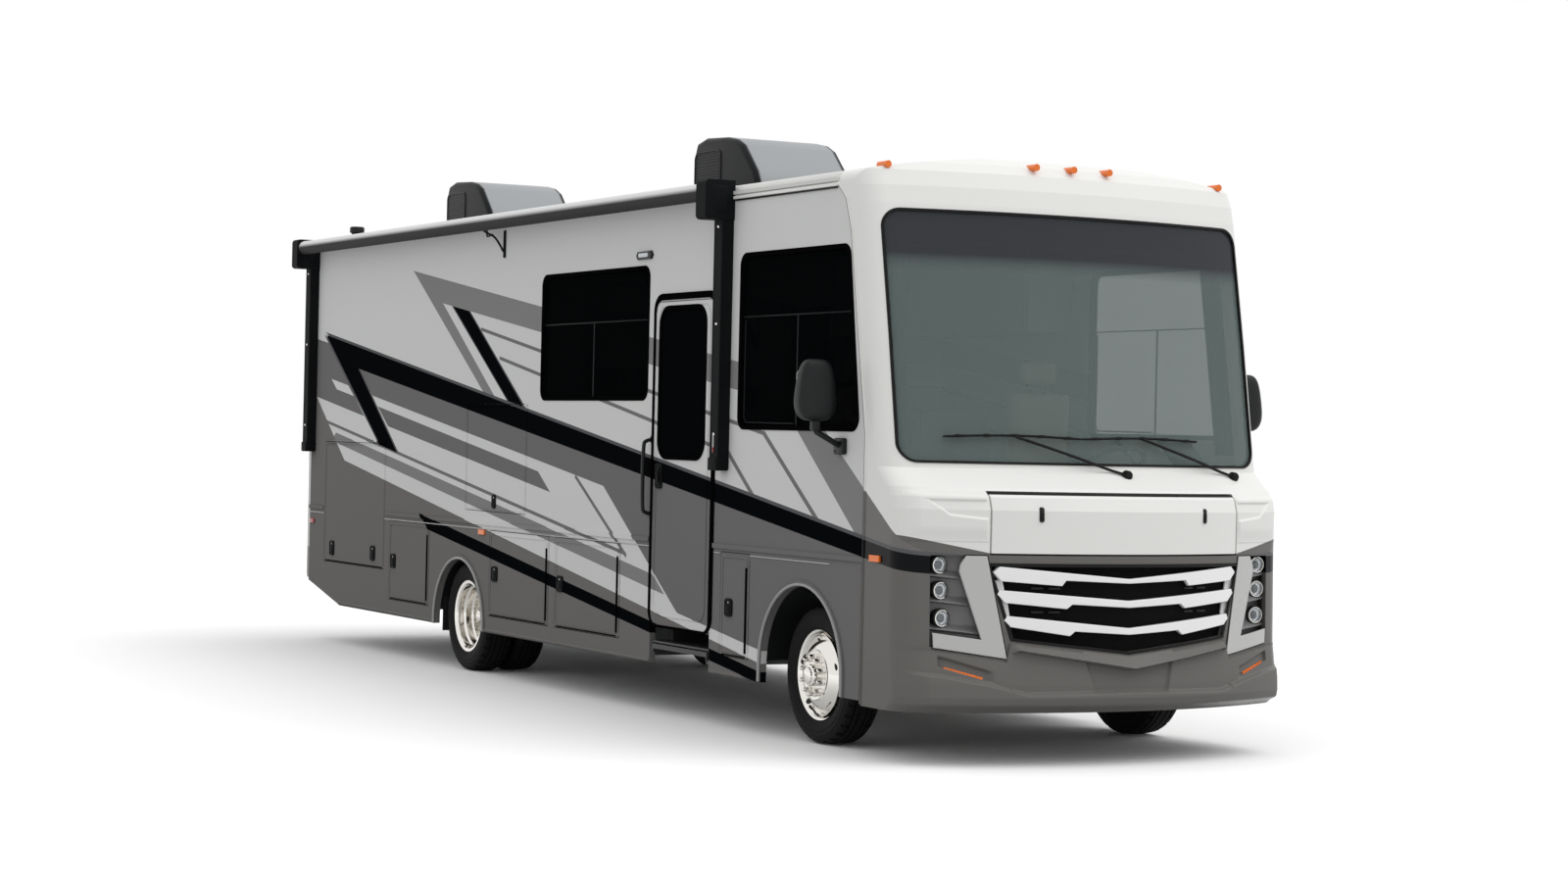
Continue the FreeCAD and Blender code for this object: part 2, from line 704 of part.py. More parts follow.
def tub(side, rect, inner, z0, z1):
    """A bay behind a door, of four flat sheets. The house floor closes its top."""
    x0, x1 = ax(rect[0]) - 25, ax(rect[1]) + 35
    t = BAY_SHEET
    deep = sorted((side * inner, side * skirt_inner))
    back = sorted((side * inner, side * (inner + t)))
    return [
        box(x0, x1, deep[0], deep[1], z0, z0 + t),
        box(x0, x1, back[0], back[1], z0 + t, z1),
        box(x0, x0 + t, *between(deep, back), z0 + t, z1),
        box(x1 - t, x1, *between(deep, back), z0 + t, z1),
    ]


def between(deep, back):
    """What is left of the depth in front of the back sheet."""
    return (back[1], deep[1]) if deep[0] == back[0] else (deep[0], back[0])


RAIL_CLEAR = 470.0


def make_garage():
    """The load space across the tail, reached from both sides. Its floor steps up over the rails."""
    x0, x1 = rear_x + WALL_THICKNESS, ax(GARAGE_DOOR[1]) + 58
    z0, z1 = GARAGE_DOOR[2] - 40, GARAGE_DOOR[3] + 60
    t = BAY_SHEET
    hy = skirt_inner
    sheets = [
        box(x0, x1, -hy, hy, z1 - t, z1),
        box(x1 - t, x1, -hy, hy, RAIL_TOP + t, z1 - t),
        box(x0, x1, -RAIL_CLEAR, RAIL_CLEAR, RAIL_TOP, RAIL_TOP + t),
    ]
    for side in (-1, 1):
        out = sorted((side * RAIL_CLEAR, side * hy))
        wall = sorted((side * RAIL_CLEAR, side * (RAIL_CLEAR + t)))
        rest = sorted((side * (RAIL_CLEAR + t), side * hy))
        sheets.append(box(x0, x1, out[0], out[1], z0, z0 + t))
        sheets.append(box(x0, x1, wall[0], wall[1], z0 + t, RAIL_TOP + t))
        sheets.append(box(x1 - t, x1, rest[0], rest[1], z0 + t, RAIL_TOP + t))
    return sheets


def make_screen_box():
    """A shallow recess of five sheets, with an outdoor screen on its back."""
    x0, x1, z0, z1 = at_axle(SCREEN_HATCH, 20)
    t = BAY_SHEET
    y0, y1 = -wall_inner, -wall_inner + 140
    return [
        box(x0, x1, y1 - t, y1, z0, z1),
        box(x0, x1, y0, y1 - t, z0, z0 + t),
        box(x0, x1, y0, y1 - t, z1 - t, z1),
        box(x0, x0 + t, y0, y1 - t, z0 + t, z1 - t),
        box(x1 - t, x1, y0, y1 - t, z0 + t, z1 - t),
        box(x0 + 120, x1 - 120, y1 - t - 60, y1 - t, z0 + 90, z1 - 90),
    ]


def make_storage():
    sheets = make_garage() + make_screen_box()
    for side, doors in ((-1, BAY_DOORS_RIGHT), (1, BAY_DOORS_LEFT)):
        for rect in doors.values():
            sheets += tub(side, rect, BAY_INNER, rect[2] - 30, floor_bottom)
    return sheets


# Slide-out room

def make_slide_room():
    """A box with no inner side: outer wall, roof, floor and two ends."""
    x0, x1, z0, z1 = at_axle(SLIDE)
    y_in = half_width - SLIDE_DEPTH
    shell = box(x0, x1, y_in, half_width + 15, z0, z1)
    hollow = box(x0 + SLIDE_WALL, x1 - SLIDE_WALL, y_in - 5, half_width + 15 - SLIDE_WALL,
                 z0 + SLIDE_WALL, z1 - SLIDE_WALL)
    flange = box(x0 - SLIDE_FLANGE, x1 + SLIDE_FLANGE, half_width + SEAT, half_width + 20,
                 z0 - SLIDE_FLANGE, z1 + SLIDE_FLANGE)
    reach = wall_inner - 10 - SLIDE_TRAVEL
    runners = [box(x, x + 120, y_in, reach, BELT_HEIGHT + SEAT, z0 + 1) for x in (x0 + 200, x1 - 320)]
    room = fuse([shell.cut(hollow), flange] + runners)
    window = rounded_plate(slide_window(), WINDOW_RADIUS, half_width - 100, half_width + 60)
    return room.cut(window)


def slide_window():
    x0, x1, z0, z1 = at_axle(SLIDE)
    middle = (x0 + x1) / 2
    return (middle - 850, middle + 850, z1 - 1000, z1 - 230)


def make_slide_window():
    return rounded_plate(slide_window(), WINDOW_RADIUS, half_width - 8, half_width + 14)


# Chassis

def make_chassis_frame():
    """Two channel rails and their cross members."""
    x0, x1 = rear_x + WALL_THICKNESS + 60, ax(1180)
    parts = []
    for side in (-1, 1):
        y = side * RAIL_SPACING / 2
        web = sorted((y, y - side * RAIL_WEB))
        lip = sorted((y, y - side * RAIL_FLANGE))
        parts.append(fuse([
            box(x0, x1, web[0], web[1], rail_bottom, RAIL_TOP),
            box(x0, x1, lip[0], lip[1], rail_bottom, rail_bottom + RAIL_WEB),
            box(x0, x1, lip[0], lip[1], RAIL_TOP - RAIL_WEB, RAIL_TOP),
        ]))
    inside = RAIL_SPACING / 2 - RAIL_WEB
    for x in (x0 + 20, rear_axle_x - 900, rear_axle_x + 900, front_axle_x - 2300, ax(-1050), x1 - 100):
        parts.append(box(x, x + 80, -inside, inside, rail_bottom + 30, rail_bottom + 150))
    return parts + make_hitch() + make_outriggers()


def make_outriggers():
    """Steel beams on top of the rails that carry the floor."""
    places = [ax(GARAGE_DOOR[1]) + 62, rear_axle_x - 555, rear_axle_x + 505, ax(-3620),
              ax(-2440), ax(-1140), ax(-600), ax(560)]
    return [box(x, x + 30, -skirt_inner, skirt_inner, RAIL_TOP, floor_bottom) for x in places]


RECEIVER = 51.0               # inside of the square receiver tube
RECEIVER_WALL = 6.5
RECEIVER_Z = 455.0


def make_hitch():
    """A tow receiver: a square tube on a cross tube, hung from the rails' ends."""
    x = rear_x + WALL_THICKNESS + 60
    half = RECEIVER / 2 + RECEIVER_WALL
    z = RECEIVER_Z
    parts = [
        box(x, x + 70, -520, 520, z - half, z + half),
        box(rear_x - 45, x + 10, -half, half, z - half, z + half),
    ]
    for side in (-1, 1):
        ys = sorted((side * (RAIL_SPACING / 2), side * (RAIL_SPACING / 2 - 14)))
        parts.append(box(x, x + 70, ys[0], ys[1], z + half - 2, rail_bottom))
    hitch = fuse(parts)
    inner = RECEIVER / 2
    return [hitch.cut(box(rear_x - 50, x - 2, -inner, inner, z - inner, z + inner))]


def make_engine():
    """One plain block between the rails, on an arm to each rail's web."""
    reach = RAIL_SPACING / 2 - RAIL_WEB
    block = box(ax(-420), ax(560), -300, 300, 620, 940)
    return fuse([block, box(ax(60), ax(140), -reach, reach, 800, 860)])


SPRING_SPAN = 1250.0
SPRING_WIDTH = 76.0


def leaf_spring(x, y, z_low):
    """A leaf pack bowed down to the axle, with its eyes under the rail."""
    half = SPRING_SPAN / 2
    z_eye = rail_bottom - 45
    t = 45.0
    def arc(offset):
        ends = [V(x + s * half, y, z_eye + offset) for s in (-1, 1)]
        return Part.Arc(ends[0], V(x, y, z_low + offset), ends[1])
    low, high = arc(0), arc(t)
    ends = [Part.LineSegment(V(x - half, y, z_eye), V(x - half, y, z_eye + t)),
            Part.LineSegment(V(x + half, y, z_eye), V(x + half, y, z_eye + t))]
    wire = Part.Wire([low.toShape(), ends[1].toShape(), high.toShape(), ends[0].toShape()])
    pack = Part.Face(wire).extrude(V(0, SPRING_WIDTH, 0))
    pack.translate(V(0, -SPRING_WIDTH / 2, 0))
    return pack


def spring_y():
    return RAIL_SPACING / 2 - SPRING_WIDTH / 2


def hangers(x, y):
    """The two brackets that carry a spring's eyes."""
    half = SPRING_SPAN / 2
    out = []
    for s in (-1, 1):
        eye = x + s * half
        out.append(box(eye - 30, eye + 30, y - 30, y + 30, rail_bottom - 45, rail_bottom))
    return out


def make_front_axle():
    """A forged I-beam with an eye at each end for the kingpin, on its two springs."""
    y_pin = FRONT_TRACK / 2 - KINGPIN_INSET
    beam_z = axle_z - 60
    beam = [
        box(front_axle_x - 45, front_axle_x + 45, -y_pin, y_pin, beam_z, beam_z + 18),
        box(front_axle_x - 12, front_axle_x + 12, -y_pin, y_pin, beam_z, beam_z + 110),
        box(front_axle_x - 45, front_axle_x + 45, -y_pin, y_pin, beam_z + 92, beam_z + 110),
    ]
    for side in (-1, 1):
        y = side * y_pin
        beam.append(cylinder(48, (front_axle_x, y, axle_z - 62), (front_axle_x, y, axle_z + 62)))
        beam.append(leaf_spring(front_axle_x, side * spring_y(), beam_z + 102))
        beam += hangers(front_axle_x, side * spring_y())
    axle = fuse(beam)
    for side in (-1, 1):
        y = side * y_pin
        bore = cylinder(KINGPIN_RADIUS + 0.05, (front_axle_x, y, 0), (front_axle_x, y, 800))
        axle = axle.cut(bore)
    return axle


def make_rear_axle():
    """A banjo housing with tubes, on its two springs."""
    hub_y = DUAL_OUTER_TRACK / 2 - DUAL_SPACING / 2 - RIM_DISC - SEAT
    parts = [
        cylinder(62, (rear_axle_x, -hub_y, axle_z), (rear_axle_x, hub_y, axle_z)),
        cylinder(190, (rear_axle_x, -90, axle_z), (rear_axle_x, 90, axle_z)),
        cylinder(80, (rear_axle_x, 0, axle_z), (rear_axle_x + 300, 0, axle_z)),
    ]
    for side in (-1, 1):
        parts.append(leaf_spring(rear_axle_x, side * spring_y(), axle_z + 40))
        parts += hangers(rear_axle_x, side * spring_y())
    return fuse(parts)


def make_drive_line():
    """Gearbox, propeller shaft, and the silencer hung under the right rail."""
    shaft = cylinder(45, (ax(-1490), 0, 640), (rear_axle_x + 303.5, 0, axle_z + 10))
    gearbox = box(ax(-1500), ax(-420), -170, 170, 560, 760)
    y, z = -(RAIL_SPACING / 2 - 38), 590.0
    silencer = cylinder(105, (ax(-3400), y, z), (ax(-2500), y, z))
    pipe = cylinder(32, (ax(-2510), y, z), (ax(-1700), y, z))
    hanger = box(ax(-3000), ax(-2960), y - 25, y + 25, z + 90, rail_bottom)
    return [fuse([gearbox, shaft]), fuse([silencer, pipe, hanger])]


def make_fuel_tank():
    """The tank between the rear wheels and the tail, strapped under the rails."""
    tank = box(rear_axle_x - 1500, rear_axle_x - 750, -400, 400, rail_bottom - 280, rail_bottom)
    edges = [e for e in tank.Edges if abs(e.tangentAt(e.FirstParameter).x) > 0.9
             and e.BoundBox.ZMax < rail_bottom - 100]
    return tank.makeFillet(60, edges)


# Wheels

def tyre(y_mid, x):
    half = TYRE_WIDTH / 2
    bead = RIM_WIDTH / 2
    r0, r1 = RIM_RADIUS, TYRE_RADIUS
    points = [(r0, -bead), (r0 + FLANGE + 0.3, -bead), (r0 + 55, -half), (r1 - 55, -half),
              (r1 - 8, -half + 22),
              (r1, -half + 50), (r1, half - 50), (r1 - 8, half - 22), (r1 - 55, half), (r0 + 55, half),
              (r0 + FLANGE + 0.3, bead), (r0, bead)]
    corners = [V(x + r, y_mid + w, axle_z) for r, w in points]
    face = Part.Face(Part.makePolygon(corners + corners[:1]))
    return face.revolve(V(x, y_mid, axle_z), V(0, 1, 0), 360)


def rim(y_mid, x, side, disc_out, lugs_out):
    """A rim: barrel, disc and hub. disc_out is how far outboard of the middle the disc sits."""
    w = RIM_WIDTH / 2
    r = RIM_RADIUS - 0.3
    t = 9.0
    points = [(r + FLANGE, -w - 8), (r + FLANGE, -w), (r, -w), (r, w), (r + FLANGE, w),
              (r + FLANGE, w + 8),
              (r - t, w + 6), (r - t - 16, w - 30), (r - t - 16, -w + 30), (r - t, -w - 6)]
    corners = [V(x + a, y_mid + b, axle_z) for a, b in points]
    middle = V(x, y_mid, axle_z)
    barrel = Part.Face(Part.makePolygon(corners + corners[:1])).revolve(middle, V(0, 1, 0), 360)
    face_y = y_mid + side * disc_out
    drop = side_drop(disc_out)
    disc_profile = [(0, 0), (0, RIM_DISC), (150, RIM_DISC), (r - t - 2, -drop),
                    (r - t - 2, -drop - 14), (150, 0)]
    corners = [V(x + a, face_y + side * b, axle_z) for a, b in disc_profile]
    disc = Part.Face(Part.makePolygon(corners + corners[:1])).revolve(middle, V(0, 1, 0), 360)
    whole = fuse([barrel, disc])
    holes = []
    for n in range(HAND_HOLES):
        a = math.radians(90 + 360 * n / HAND_HOLES)
        hx, hz = x + 188 * math.cos(a), axle_z + 188 * math.sin(a)
        holes.append(cylinder(17, (hx, y_mid - 300, hz), (hx, y_mid + 300, hz)))
    whole = whole.cut(holes[0].multiFuse(holes[1:]))
    hub_end = face_y + side * (14 + lugs_out)
    extra = [cylinder(62, (x, face_y + side * 1, axle_z), (x, hub_end, axle_z))] if lugs_out > 0 else []
    for n in range(LUGS if lugs_out > 0 else 0):
        a = math.radians(360 * (n + 0.5) / LUGS)
        lx, lz = x + 112 * math.cos(a), axle_z + 112 * math.sin(a)
        extra.append(cylinder(15, (lx, face_y + side * 7, lz), (lx, face_y + side * 60, lz)))
    return fuse([whole] + extra)


def side_drop(disc_out):
    """How far the disc runs back to the barrel."""
    return 60.0 if disc_out > 0 else -50.0


def make_front_wheel(side):
    y = side * FRONT_TRACK / 2
    return tyre(y, front_axle_x), rim(y, front_axle_x, side, FRONT_DISC_OUT, 45.0)


def make_rear_wheels(side):
    outer = side * DUAL_OUTER_TRACK / 2
    inner = outer - side * DUAL_SPACING
    tyres = [tyre(outer, rear_axle_x), tyre(inner, rear_axle_x)]
    meet = -DUAL_SPACING / 2
    rims = fuse([rim(outer, rear_axle_x, side, meet, 110.0), rim(inner, rear_axle_x, -side, meet, 0.0)])
    return tyres, rims


def make_knuckle(side):
    """Steering knuckle: a fork above and below the axle's eye, with the wheel spindle."""
    y_pin = side * (FRONT_TRACK / 2 - KINGPIN_INSET)
    out = y_pin + side * 66
    ys = sorted((y_pin - side * 30, out))
    ears = []
    for z in (axle_z - 62 - STEER_GAP - 24, axle_z + 62 + STEER_GAP):
        ears.append(box(front_axle_x - 38, front_axle_x + 38, ys[0], ys[1], z, z + 24))
    web = sorted((y_pin + side * 56, out + side * 8))
    ears.append(box(front_axle_x - 38, front_axle_x + 38, web[0], web[1],
                    axle_z - 62 - STEER_GAP - 24, axle_z + 62 + STEER_GAP + 24))
    foot = (front_axle_x, y_pin, axle_z - 90)
    pin = cylinder(KINGPIN_RADIUS, foot, (front_axle_x, y_pin, axle_z + 90))
    end = side * (FRONT_TRACK / 2 + FRONT_DISC_OUT - SEAT)
    spindle = cylinder(30, (front_axle_x, out, axle_z), (front_axle_x, end, axle_z))
    return fuse(ears + [pin, spindle])


# Cab inside

def make_dashboard():
    z0 = BELT_HEIGHT
    points = [(ax(560), z0), (ax(1040), z0), (ax(1040), z0 + 325), (ax(930), z0 + 430),
              (ax(700), z0 + 405), (ax(600), z0 + 335)]
    return plate(points, -1120, 1120)


def seat(y):
    x = ax(-250)
    parts = [
        box(x - 180, x + 180, y - 180, y + 180, BELT_HEIGHT, 1390),
        box(x - 240, x + 270, y - 260, y + 260, 1390, 1530),
        box(x - 330, x - 200, y - 250, y + 250, 1480, 2120),
        box(x - 320, x - 220, y - 140, y + 140, 2120, 2290),
    ]
    return fuse(parts)


def make_seats():
    return [seat(-640), seat(640)]


def make_steering_wheel():
    centre = V(ax(300), 640, 1640)
    tilt = V(-0.55, 0, 0.835)
    ring = Part.makeTorus(205, 14, centre, tilt)
    column = cylinder(25, (centre.x, centre.y, centre.z), (ax(590), 640, 1300))
    spoke = box(centre.x - 14, centre.x + 14, 640 - 205, 640 + 205, 1640 - 12, 1640 + 12)
    return fuse([ring, column, spoke]).cut(make_dashboard())


def make_overhead():
    """The cupboard across the cab, over the windscreen."""
    cupboard = box(ax(180), ax(560), -wall_inner, wall_inner, 2920, 3160)
    return cupboard


# Outside fittings

AWNING_X = (-8605.0, -1020.0)
AWNING_Y = 1420.0
AWNING_Z = 3250.0
AWNING_RADIUS = 55.0
ARM_WIDTH = 110.0
ARM_DEPTH = 78.0


def make_awning_arms():
    parts = []
    for x in AWNING_X:
        cx = ax(x)
        x0, x1 = cx - ARM_WIDTH / 2, cx + ARM_WIDTH / 2
        arm = box(x0, x1, -half_width - ARM_DEPTH, -half_width, 1575, 3090)
        head = box(cx - 65, cx + 65, -AWNING_Y - 65, -half_width, 3080, 3320)
        outer_edges = [e for e in head.Edges
                       if abs(e.tangentAt(0).x) > 0.9 and e.BoundBox.YMax < -half_width - 50]
        head = head.makeFillet(28, outer_edges)
        gutter = box(cx - 100, cx + 100, -half_width - 14, -half_width + 5, WALL_TOP + 8, WALL_TOP + 30)
        parts.append(fuse([arm, head]).cut(gutter))
    return parts


def make_awning_roll():
    x0, x1 = ax(AWNING_X[0]) + 65, ax(AWNING_X[1]) - 65
    return cylinder(AWNING_RADIUS, (x0, -AWNING_Y, AWNING_Z), (x1, -AWNING_Y, AWNING_Z))


AC_PLACES = (-7565.0, -2925.0)
AC_LENGTH = 960.0
AC_WIDTH = 740.0
AC_HEIGHT = 415.0


def make_air_conditioners():
    units = []
    for x in AC_PLACES:
        x0, x1 = ax(x) - AC_LENGTH / 2, ax(x) + AC_LENGTH / 2
        z0, z1 = ROOF_CENTRE - 30, ROOF_CENTRE + AC_HEIGHT
        points = [(x0, z0), (x1, z0), (x1, z0 + 110), (x1 - 230, z1 - 70), (x1 - 480, z1 - 12),
                  (x0 + 180, z1), (x0 + 30, z1 - 45), (x0, z1 - 130)]
        unit = plate(points, -AC_WIDTH / 2, AC_WIDTH / 2)
        roof_body = roof_profile(0, rear_x, WALL_TOP - 200).extrude(V(length, 0, 0))
        units.append(unit.cut(roof_body))
    return units


def make_mirror(side):
    """An arm from the cab's side with a tall head whose glass looks back."""
    y = lambda d: side * (half_width + d)
    base = box(ax(350), ax(515), *sorted((y(0), y(28))), 1680, 1775)
    arm = cylinder(20, (ax(435), y(15), 1728), (ax(480), y(200), 1800))
    post = cylinder(22, (ax(480), y(200), 1785), (ax(480), y(200), 1880))
    head = box(ax(405), ax(545), *sorted((y(78), y(320))), 1868, 2216)
    head = head.makeFillet(45, [e for e in head.Edges if e.BoundBox.XMin > ax(530)])
    return fuse([base, arm, post, head])


WIPER_PIVOTS = (130.0, 970.0)
WIPER_LENGTH = 825.0
WIPER_Z = 1810.0


def make_wiper(y_pivot):
    """A wiper parked along the foot of the windscreen: its blade follows the glass."""
    y0, y1 = y_pivot - 265 - WIPER_LENGTH, y_pivot - 265
    blade = nose_skin(-12, 8).common(box(ax(600), ax(1500), y0, y1, WIPER_Z - 9, WIPER_Z + 9))
    bow = lambda y: y * y / 7400.0
    foot_x = ax(1210 - bow(y_pivot))
    y_mid = (y0 + y1) / 2
    tip_x = ax(1128 - bow(y_mid))
    pivot = cylinder(22, (foot_x - 60, y_pivot, 1560), (foot_x + 25, y_pivot, 1640)).cut(nose_solid(0))
    pivot = max(pivot.Solids, key=lambda q: q.BoundBox.ZMax)
    arm = cylinder(9, (foot_x + 15, y_pivot, 1632), (tip_x + 2, y_mid, WIPER_Z))
    return fuse([pivot, arm.cut(nose_solid(0)), blade])


def make_grab_handle():
    x = ax(ENTRY_DOOR[0]) - 32
    y0, y1 = -half_width, -half_width - 75
    corners = [(x, y0 + 40, 1262), (x, y1, 1300), (x, y1, 1700), (x, y0 + 40, 1738)]
    parts = [cylinder(13, a, b) for a, b in zip(corners, corners[1:])]
    parts += [Part.makeSphere(13, V(*corner)) for corner in corners[1:3]]
    return fuse(parts).cut(box(x - 60, x + 60, y0, y0 + 100, 1100, 1900))


def make_ladder():
    """A roof ladder on the rear wall."""
    x_out = rear_x - REAR_FITTINGS
    y = 750.0
    parts = []
    for s in (-1, 1):
        yy = y + s * 200
        parts.append(cylinder(13, (x_out + 13, yy, 1000), (x_out + 13, yy, 3300)))
        for z in (1100, 2100, 3200):
            parts.append(cylinder(12, (x_out + 13, yy, z), (rear_x, yy, z)))
    for n in range(8):
        z = 1060 + n * 300
        parts.append(cylinder(12, (x_out + 13, y - 200, z), (x_out + 13, y + 200, z)))
    return fuse(parts)


def make_tail_lamps():
    lamps = []
    for side in (-1, 1):
        ys = sorted((side * 1120, side * 1230))
        lamps.append(box(rear_x - 18, rear_x, ys[0], ys[1], 1000, 1380))
    return lamps


def make_marker_lamps():
    """Amber lamps: five over the windscreen, one on each front corner and mid side."""
    lamps = []
    for y, x, z in ((-1139, 600, 3318), (-250, 752, 3342), (0, 760, 3342), (250, 752, 3342),
                    (1139, 600, 3318)):
        lamp = cylinder(20, (ax(x) - 60, y, z), (ax(x) + 42, y, z)).cut(nose_solid(0))
        lamps.append(max(lamp.Solids, key=lambda q: q.BoundBox.XMax))
    for side in (-1, 1):
        for x, z in ((845, 1115), (-4860, 1035)):
            ys = sorted((side * half_width, side * (half_width + 12)))
            lamps.append(box(ax(x) - 55, ax(x) + 55, ys[0], ys[1], z - 18, z + 18))
    return lamps


STEP_TRAVEL = 280.0
STEP_Z = 385.0
STEP_TALL = 55.0


def make_entry_step():
    """The sliding step under the door, stowed."""
    x0, x1 = ax(ENTRY_DOOR[0]) + 25, ax(ENTRY_DOOR[1]) - 25
    y_out = -half_width + 5
    tread = box(x0, x1, y_out, y_out + 330, STEP_Z + 25, STEP_Z + STEP_TALL)
    sides = [box(x, x + 12, y_out, y_out + 620, STEP_Z, STEP_Z + STEP_TALL) for x in (x0, x1 - 12)]
    return fuse([tread] + sides)


def step_housing():
    """The sheet cover that the sliding step runs in, hung from the sill."""
    x0, x1 = ax(ENTRY_DOOR[0]) + 5, ax(ENTRY_DOOR[1]) - 5
    y_out = -half_width + 12
    roof_z = STEP_Z + STEP_TALL + 8
    top = box(x0, x1, y_out, y_out + 640, roof_z, roof_z + 12)
    ends = [box(x, x + 12, y_out, y_out + 640, STEP_Z - 20, roof_z) for x in (x0, x1 - 12)]
    back = box(x0, x1, y_out + 628, y_out + 640, STEP_Z - 20, roof_z)
    runners = [box(x0 + 12, x0 + 40, y_out, y_out + 628, STEP_Z - 20, STEP_Z - 0.3),
               box(x1 - 40, x1 - 12, y_out, y_out + 628, STEP_Z - 20, STEP_Z - 0.3)]
    posts = [box(x, x + 40, y_out + 100, y_out + 500, roof_z + 12, ENTRY_DOOR[2] - 10 - TUB)
             for x in (x0 + 60, x1 - 100)]
    return [fuse([top, back] + ends + runners + posts)]


def make_wheel_wells():
    """Inner arches over the tyres, one solid each."""
    wells = []
    for axle, radius, centre, inner in (
        (front_axle_x, ARCH_RADIUS_FRONT, ARCH_CENTRE_FRONT, 600.0),
        (rear_axle_x, ARCH_RADIUS_REAR, ARCH_CENTRE_REAR, 620.0),
    ):
        for side in (-1, 1):
            ys = sorted((side * inner, side * skirt_inner))
            z_cut = SKIRT_BOTTOM + 130
            def arch(r, extra):
                c = cylinder(r, (axle, ys[0] - extra, centre), (axle, ys[1] + extra, centre))
                return c.fuse(box(axle - r, axle + r, ys[0] - extra, ys[1] + extra, 0, centre))
            shell = arch(radius + 24, 0).cut(arch(radius + 12, 5))
            shell = shell.common(box(axle - 900, axle + 900, -2000, 2000, z_cut, floor_bottom - 2))
            wells.append(shell)
    return wells


def export(name, shapes):
    """Writes one node: a solid, or a compound of solids that don't touch."""
    if not isinstance(shapes, (list, tuple)):
        shapes = [shapes]
    solids = []
    for shape in shapes:
        solids += shape.Solids
    shape = solids[0] if len(solids) == 1 else Part.makeCompound(solids)
    shape.exportStep(os.path.join("parts", name + ".step"))


def main():
    os.makedirs("parts", exist_ok=True)
    for old in os.listdir("parts"):
        if old.endswith(".step"):
            os.remove(os.path.join("parts", old))
    bays_right = list(BAY_DOORS_RIGHT.values())
    bays_left = list(BAY_DOORS_LEFT.values())
    nodes = {
        "roof": make_roof, "rear_wall": make_rear_wall, "wall_right": make_wall_right,
        "wall_left": make_wall_left, "floor": make_floor, "step_well": make_step_well,
        "skirt_right": lambda: make_skirt(-1, bays_right), "skirt_left": lambda: make_skirt(1, bays_left),
        "front_cap": make_front_cap, "hood": make_hood, "windscreen": make_windscreen,
        "windscreen_seal": make_windscreen_seal, "grille": make_grille, "headlamps": make_lamps,
        "side_glass": make_side_glass, "window_frames": make_window_frames,
        "entry_door": make_entry_door, "entry_door_glass": make_entry_door_glass,
        "garage_door_right": lambda: top_lid(-1, GARAGE_DOOR, WALL_THICKNESS),
        "garage_door_left": lambda: top_lid(1, GARAGE_DOOR, WALL_THICKNESS),
        "screen_hatch": lambda: top_lid(-1, SCREEN_HATCH, WALL_THICKNESS),
        "storage_bays": make_storage, "slide_room": make_slide_room, "slide_window": make_slide_window,
        "chassis_frame": make_chassis_frame, "engine_block": make_engine,
        "front_axle": make_front_axle, "rear_axle": make_rear_axle, "drive_line": make_drive_line,
        "fuel_tank": make_fuel_tank, "wheel_wells": make_wheel_wells,
        "cab_trim": lambda: [make_dashboard(), make_overhead()],
        "cab_seats": make_seats, "steering_wheel": make_steering_wheel,
        "awning_arms": make_awning_arms, "awning_roll": make_awning_roll,
        "air_conditioners": make_air_conditioners,
        "mirrors": lambda: [make_mirror(-1), make_mirror(1)],
        "wipers": lambda: [make_wiper(y) for y in WIPER_PIVOTS],
        "hand_rails": lambda: [make_grab_handle(), make_ladder()],
        "tail_lamps": make_tail_lamps, "marker_lamps": make_marker_lamps, "entry_step": make_entry_step,
        "knuckle_right": lambda: make_knuckle(-1), "knuckle_left": lambda: make_knuckle(1),
    }
    for name, rect in BAY_DOORS_RIGHT.items():
        nodes[name] = lambda rect=rect: side_door(-1, rect, SKIRT_THICKNESS)
    for name, rect in BAY_DOORS_LEFT.items():
        nodes[name] = lambda rect=rect: side_door(1, rect, SKIRT_THICKNESS)
    for name, make in nodes.items():
        export(name, make())
    for side, word in ((-1, "right"), (1, "left")):
        t, r = make_front_wheel(side)
        export("tyre_front_" + word, t)
        export("rim_front_" + word, r)
        ts, rs = make_rear_wheels(side)
        export("tyres_rear_" + word, ts)
        export("rims_rear_" + word, rs)


main()
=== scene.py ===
# %% [markdown]
# A motorhome, dressed for its picture. The imported CAD model is the fixed frame:
# every piece below rides on one of its bodies.

# %% Load the frame
import math
from contextlib import contextmanager

import bmesh
import bpy
from mathutils import Matrix, Vector


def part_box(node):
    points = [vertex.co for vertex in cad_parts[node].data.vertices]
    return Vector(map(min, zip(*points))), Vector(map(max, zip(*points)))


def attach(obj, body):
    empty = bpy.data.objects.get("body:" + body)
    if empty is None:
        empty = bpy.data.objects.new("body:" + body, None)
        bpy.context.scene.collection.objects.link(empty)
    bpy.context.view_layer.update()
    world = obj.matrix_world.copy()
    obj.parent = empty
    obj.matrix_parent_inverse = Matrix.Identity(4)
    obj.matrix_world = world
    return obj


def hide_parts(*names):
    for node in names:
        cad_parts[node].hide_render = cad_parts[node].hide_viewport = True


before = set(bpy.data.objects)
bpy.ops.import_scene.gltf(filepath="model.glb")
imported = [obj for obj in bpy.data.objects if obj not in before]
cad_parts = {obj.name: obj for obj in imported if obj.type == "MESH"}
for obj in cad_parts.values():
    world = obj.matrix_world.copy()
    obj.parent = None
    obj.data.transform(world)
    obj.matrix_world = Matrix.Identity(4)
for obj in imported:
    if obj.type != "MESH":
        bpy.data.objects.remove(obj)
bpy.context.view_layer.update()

bpy.ops.object.select_all(action="DESELECT")

# %% [markdown]
# The camera stands off the front corner on the kerb side, at eye height, and
# is rolled by a little over a degree, as the photographer's was. Its axes are
# worked out from two angles and the roll, and set as a matrix.

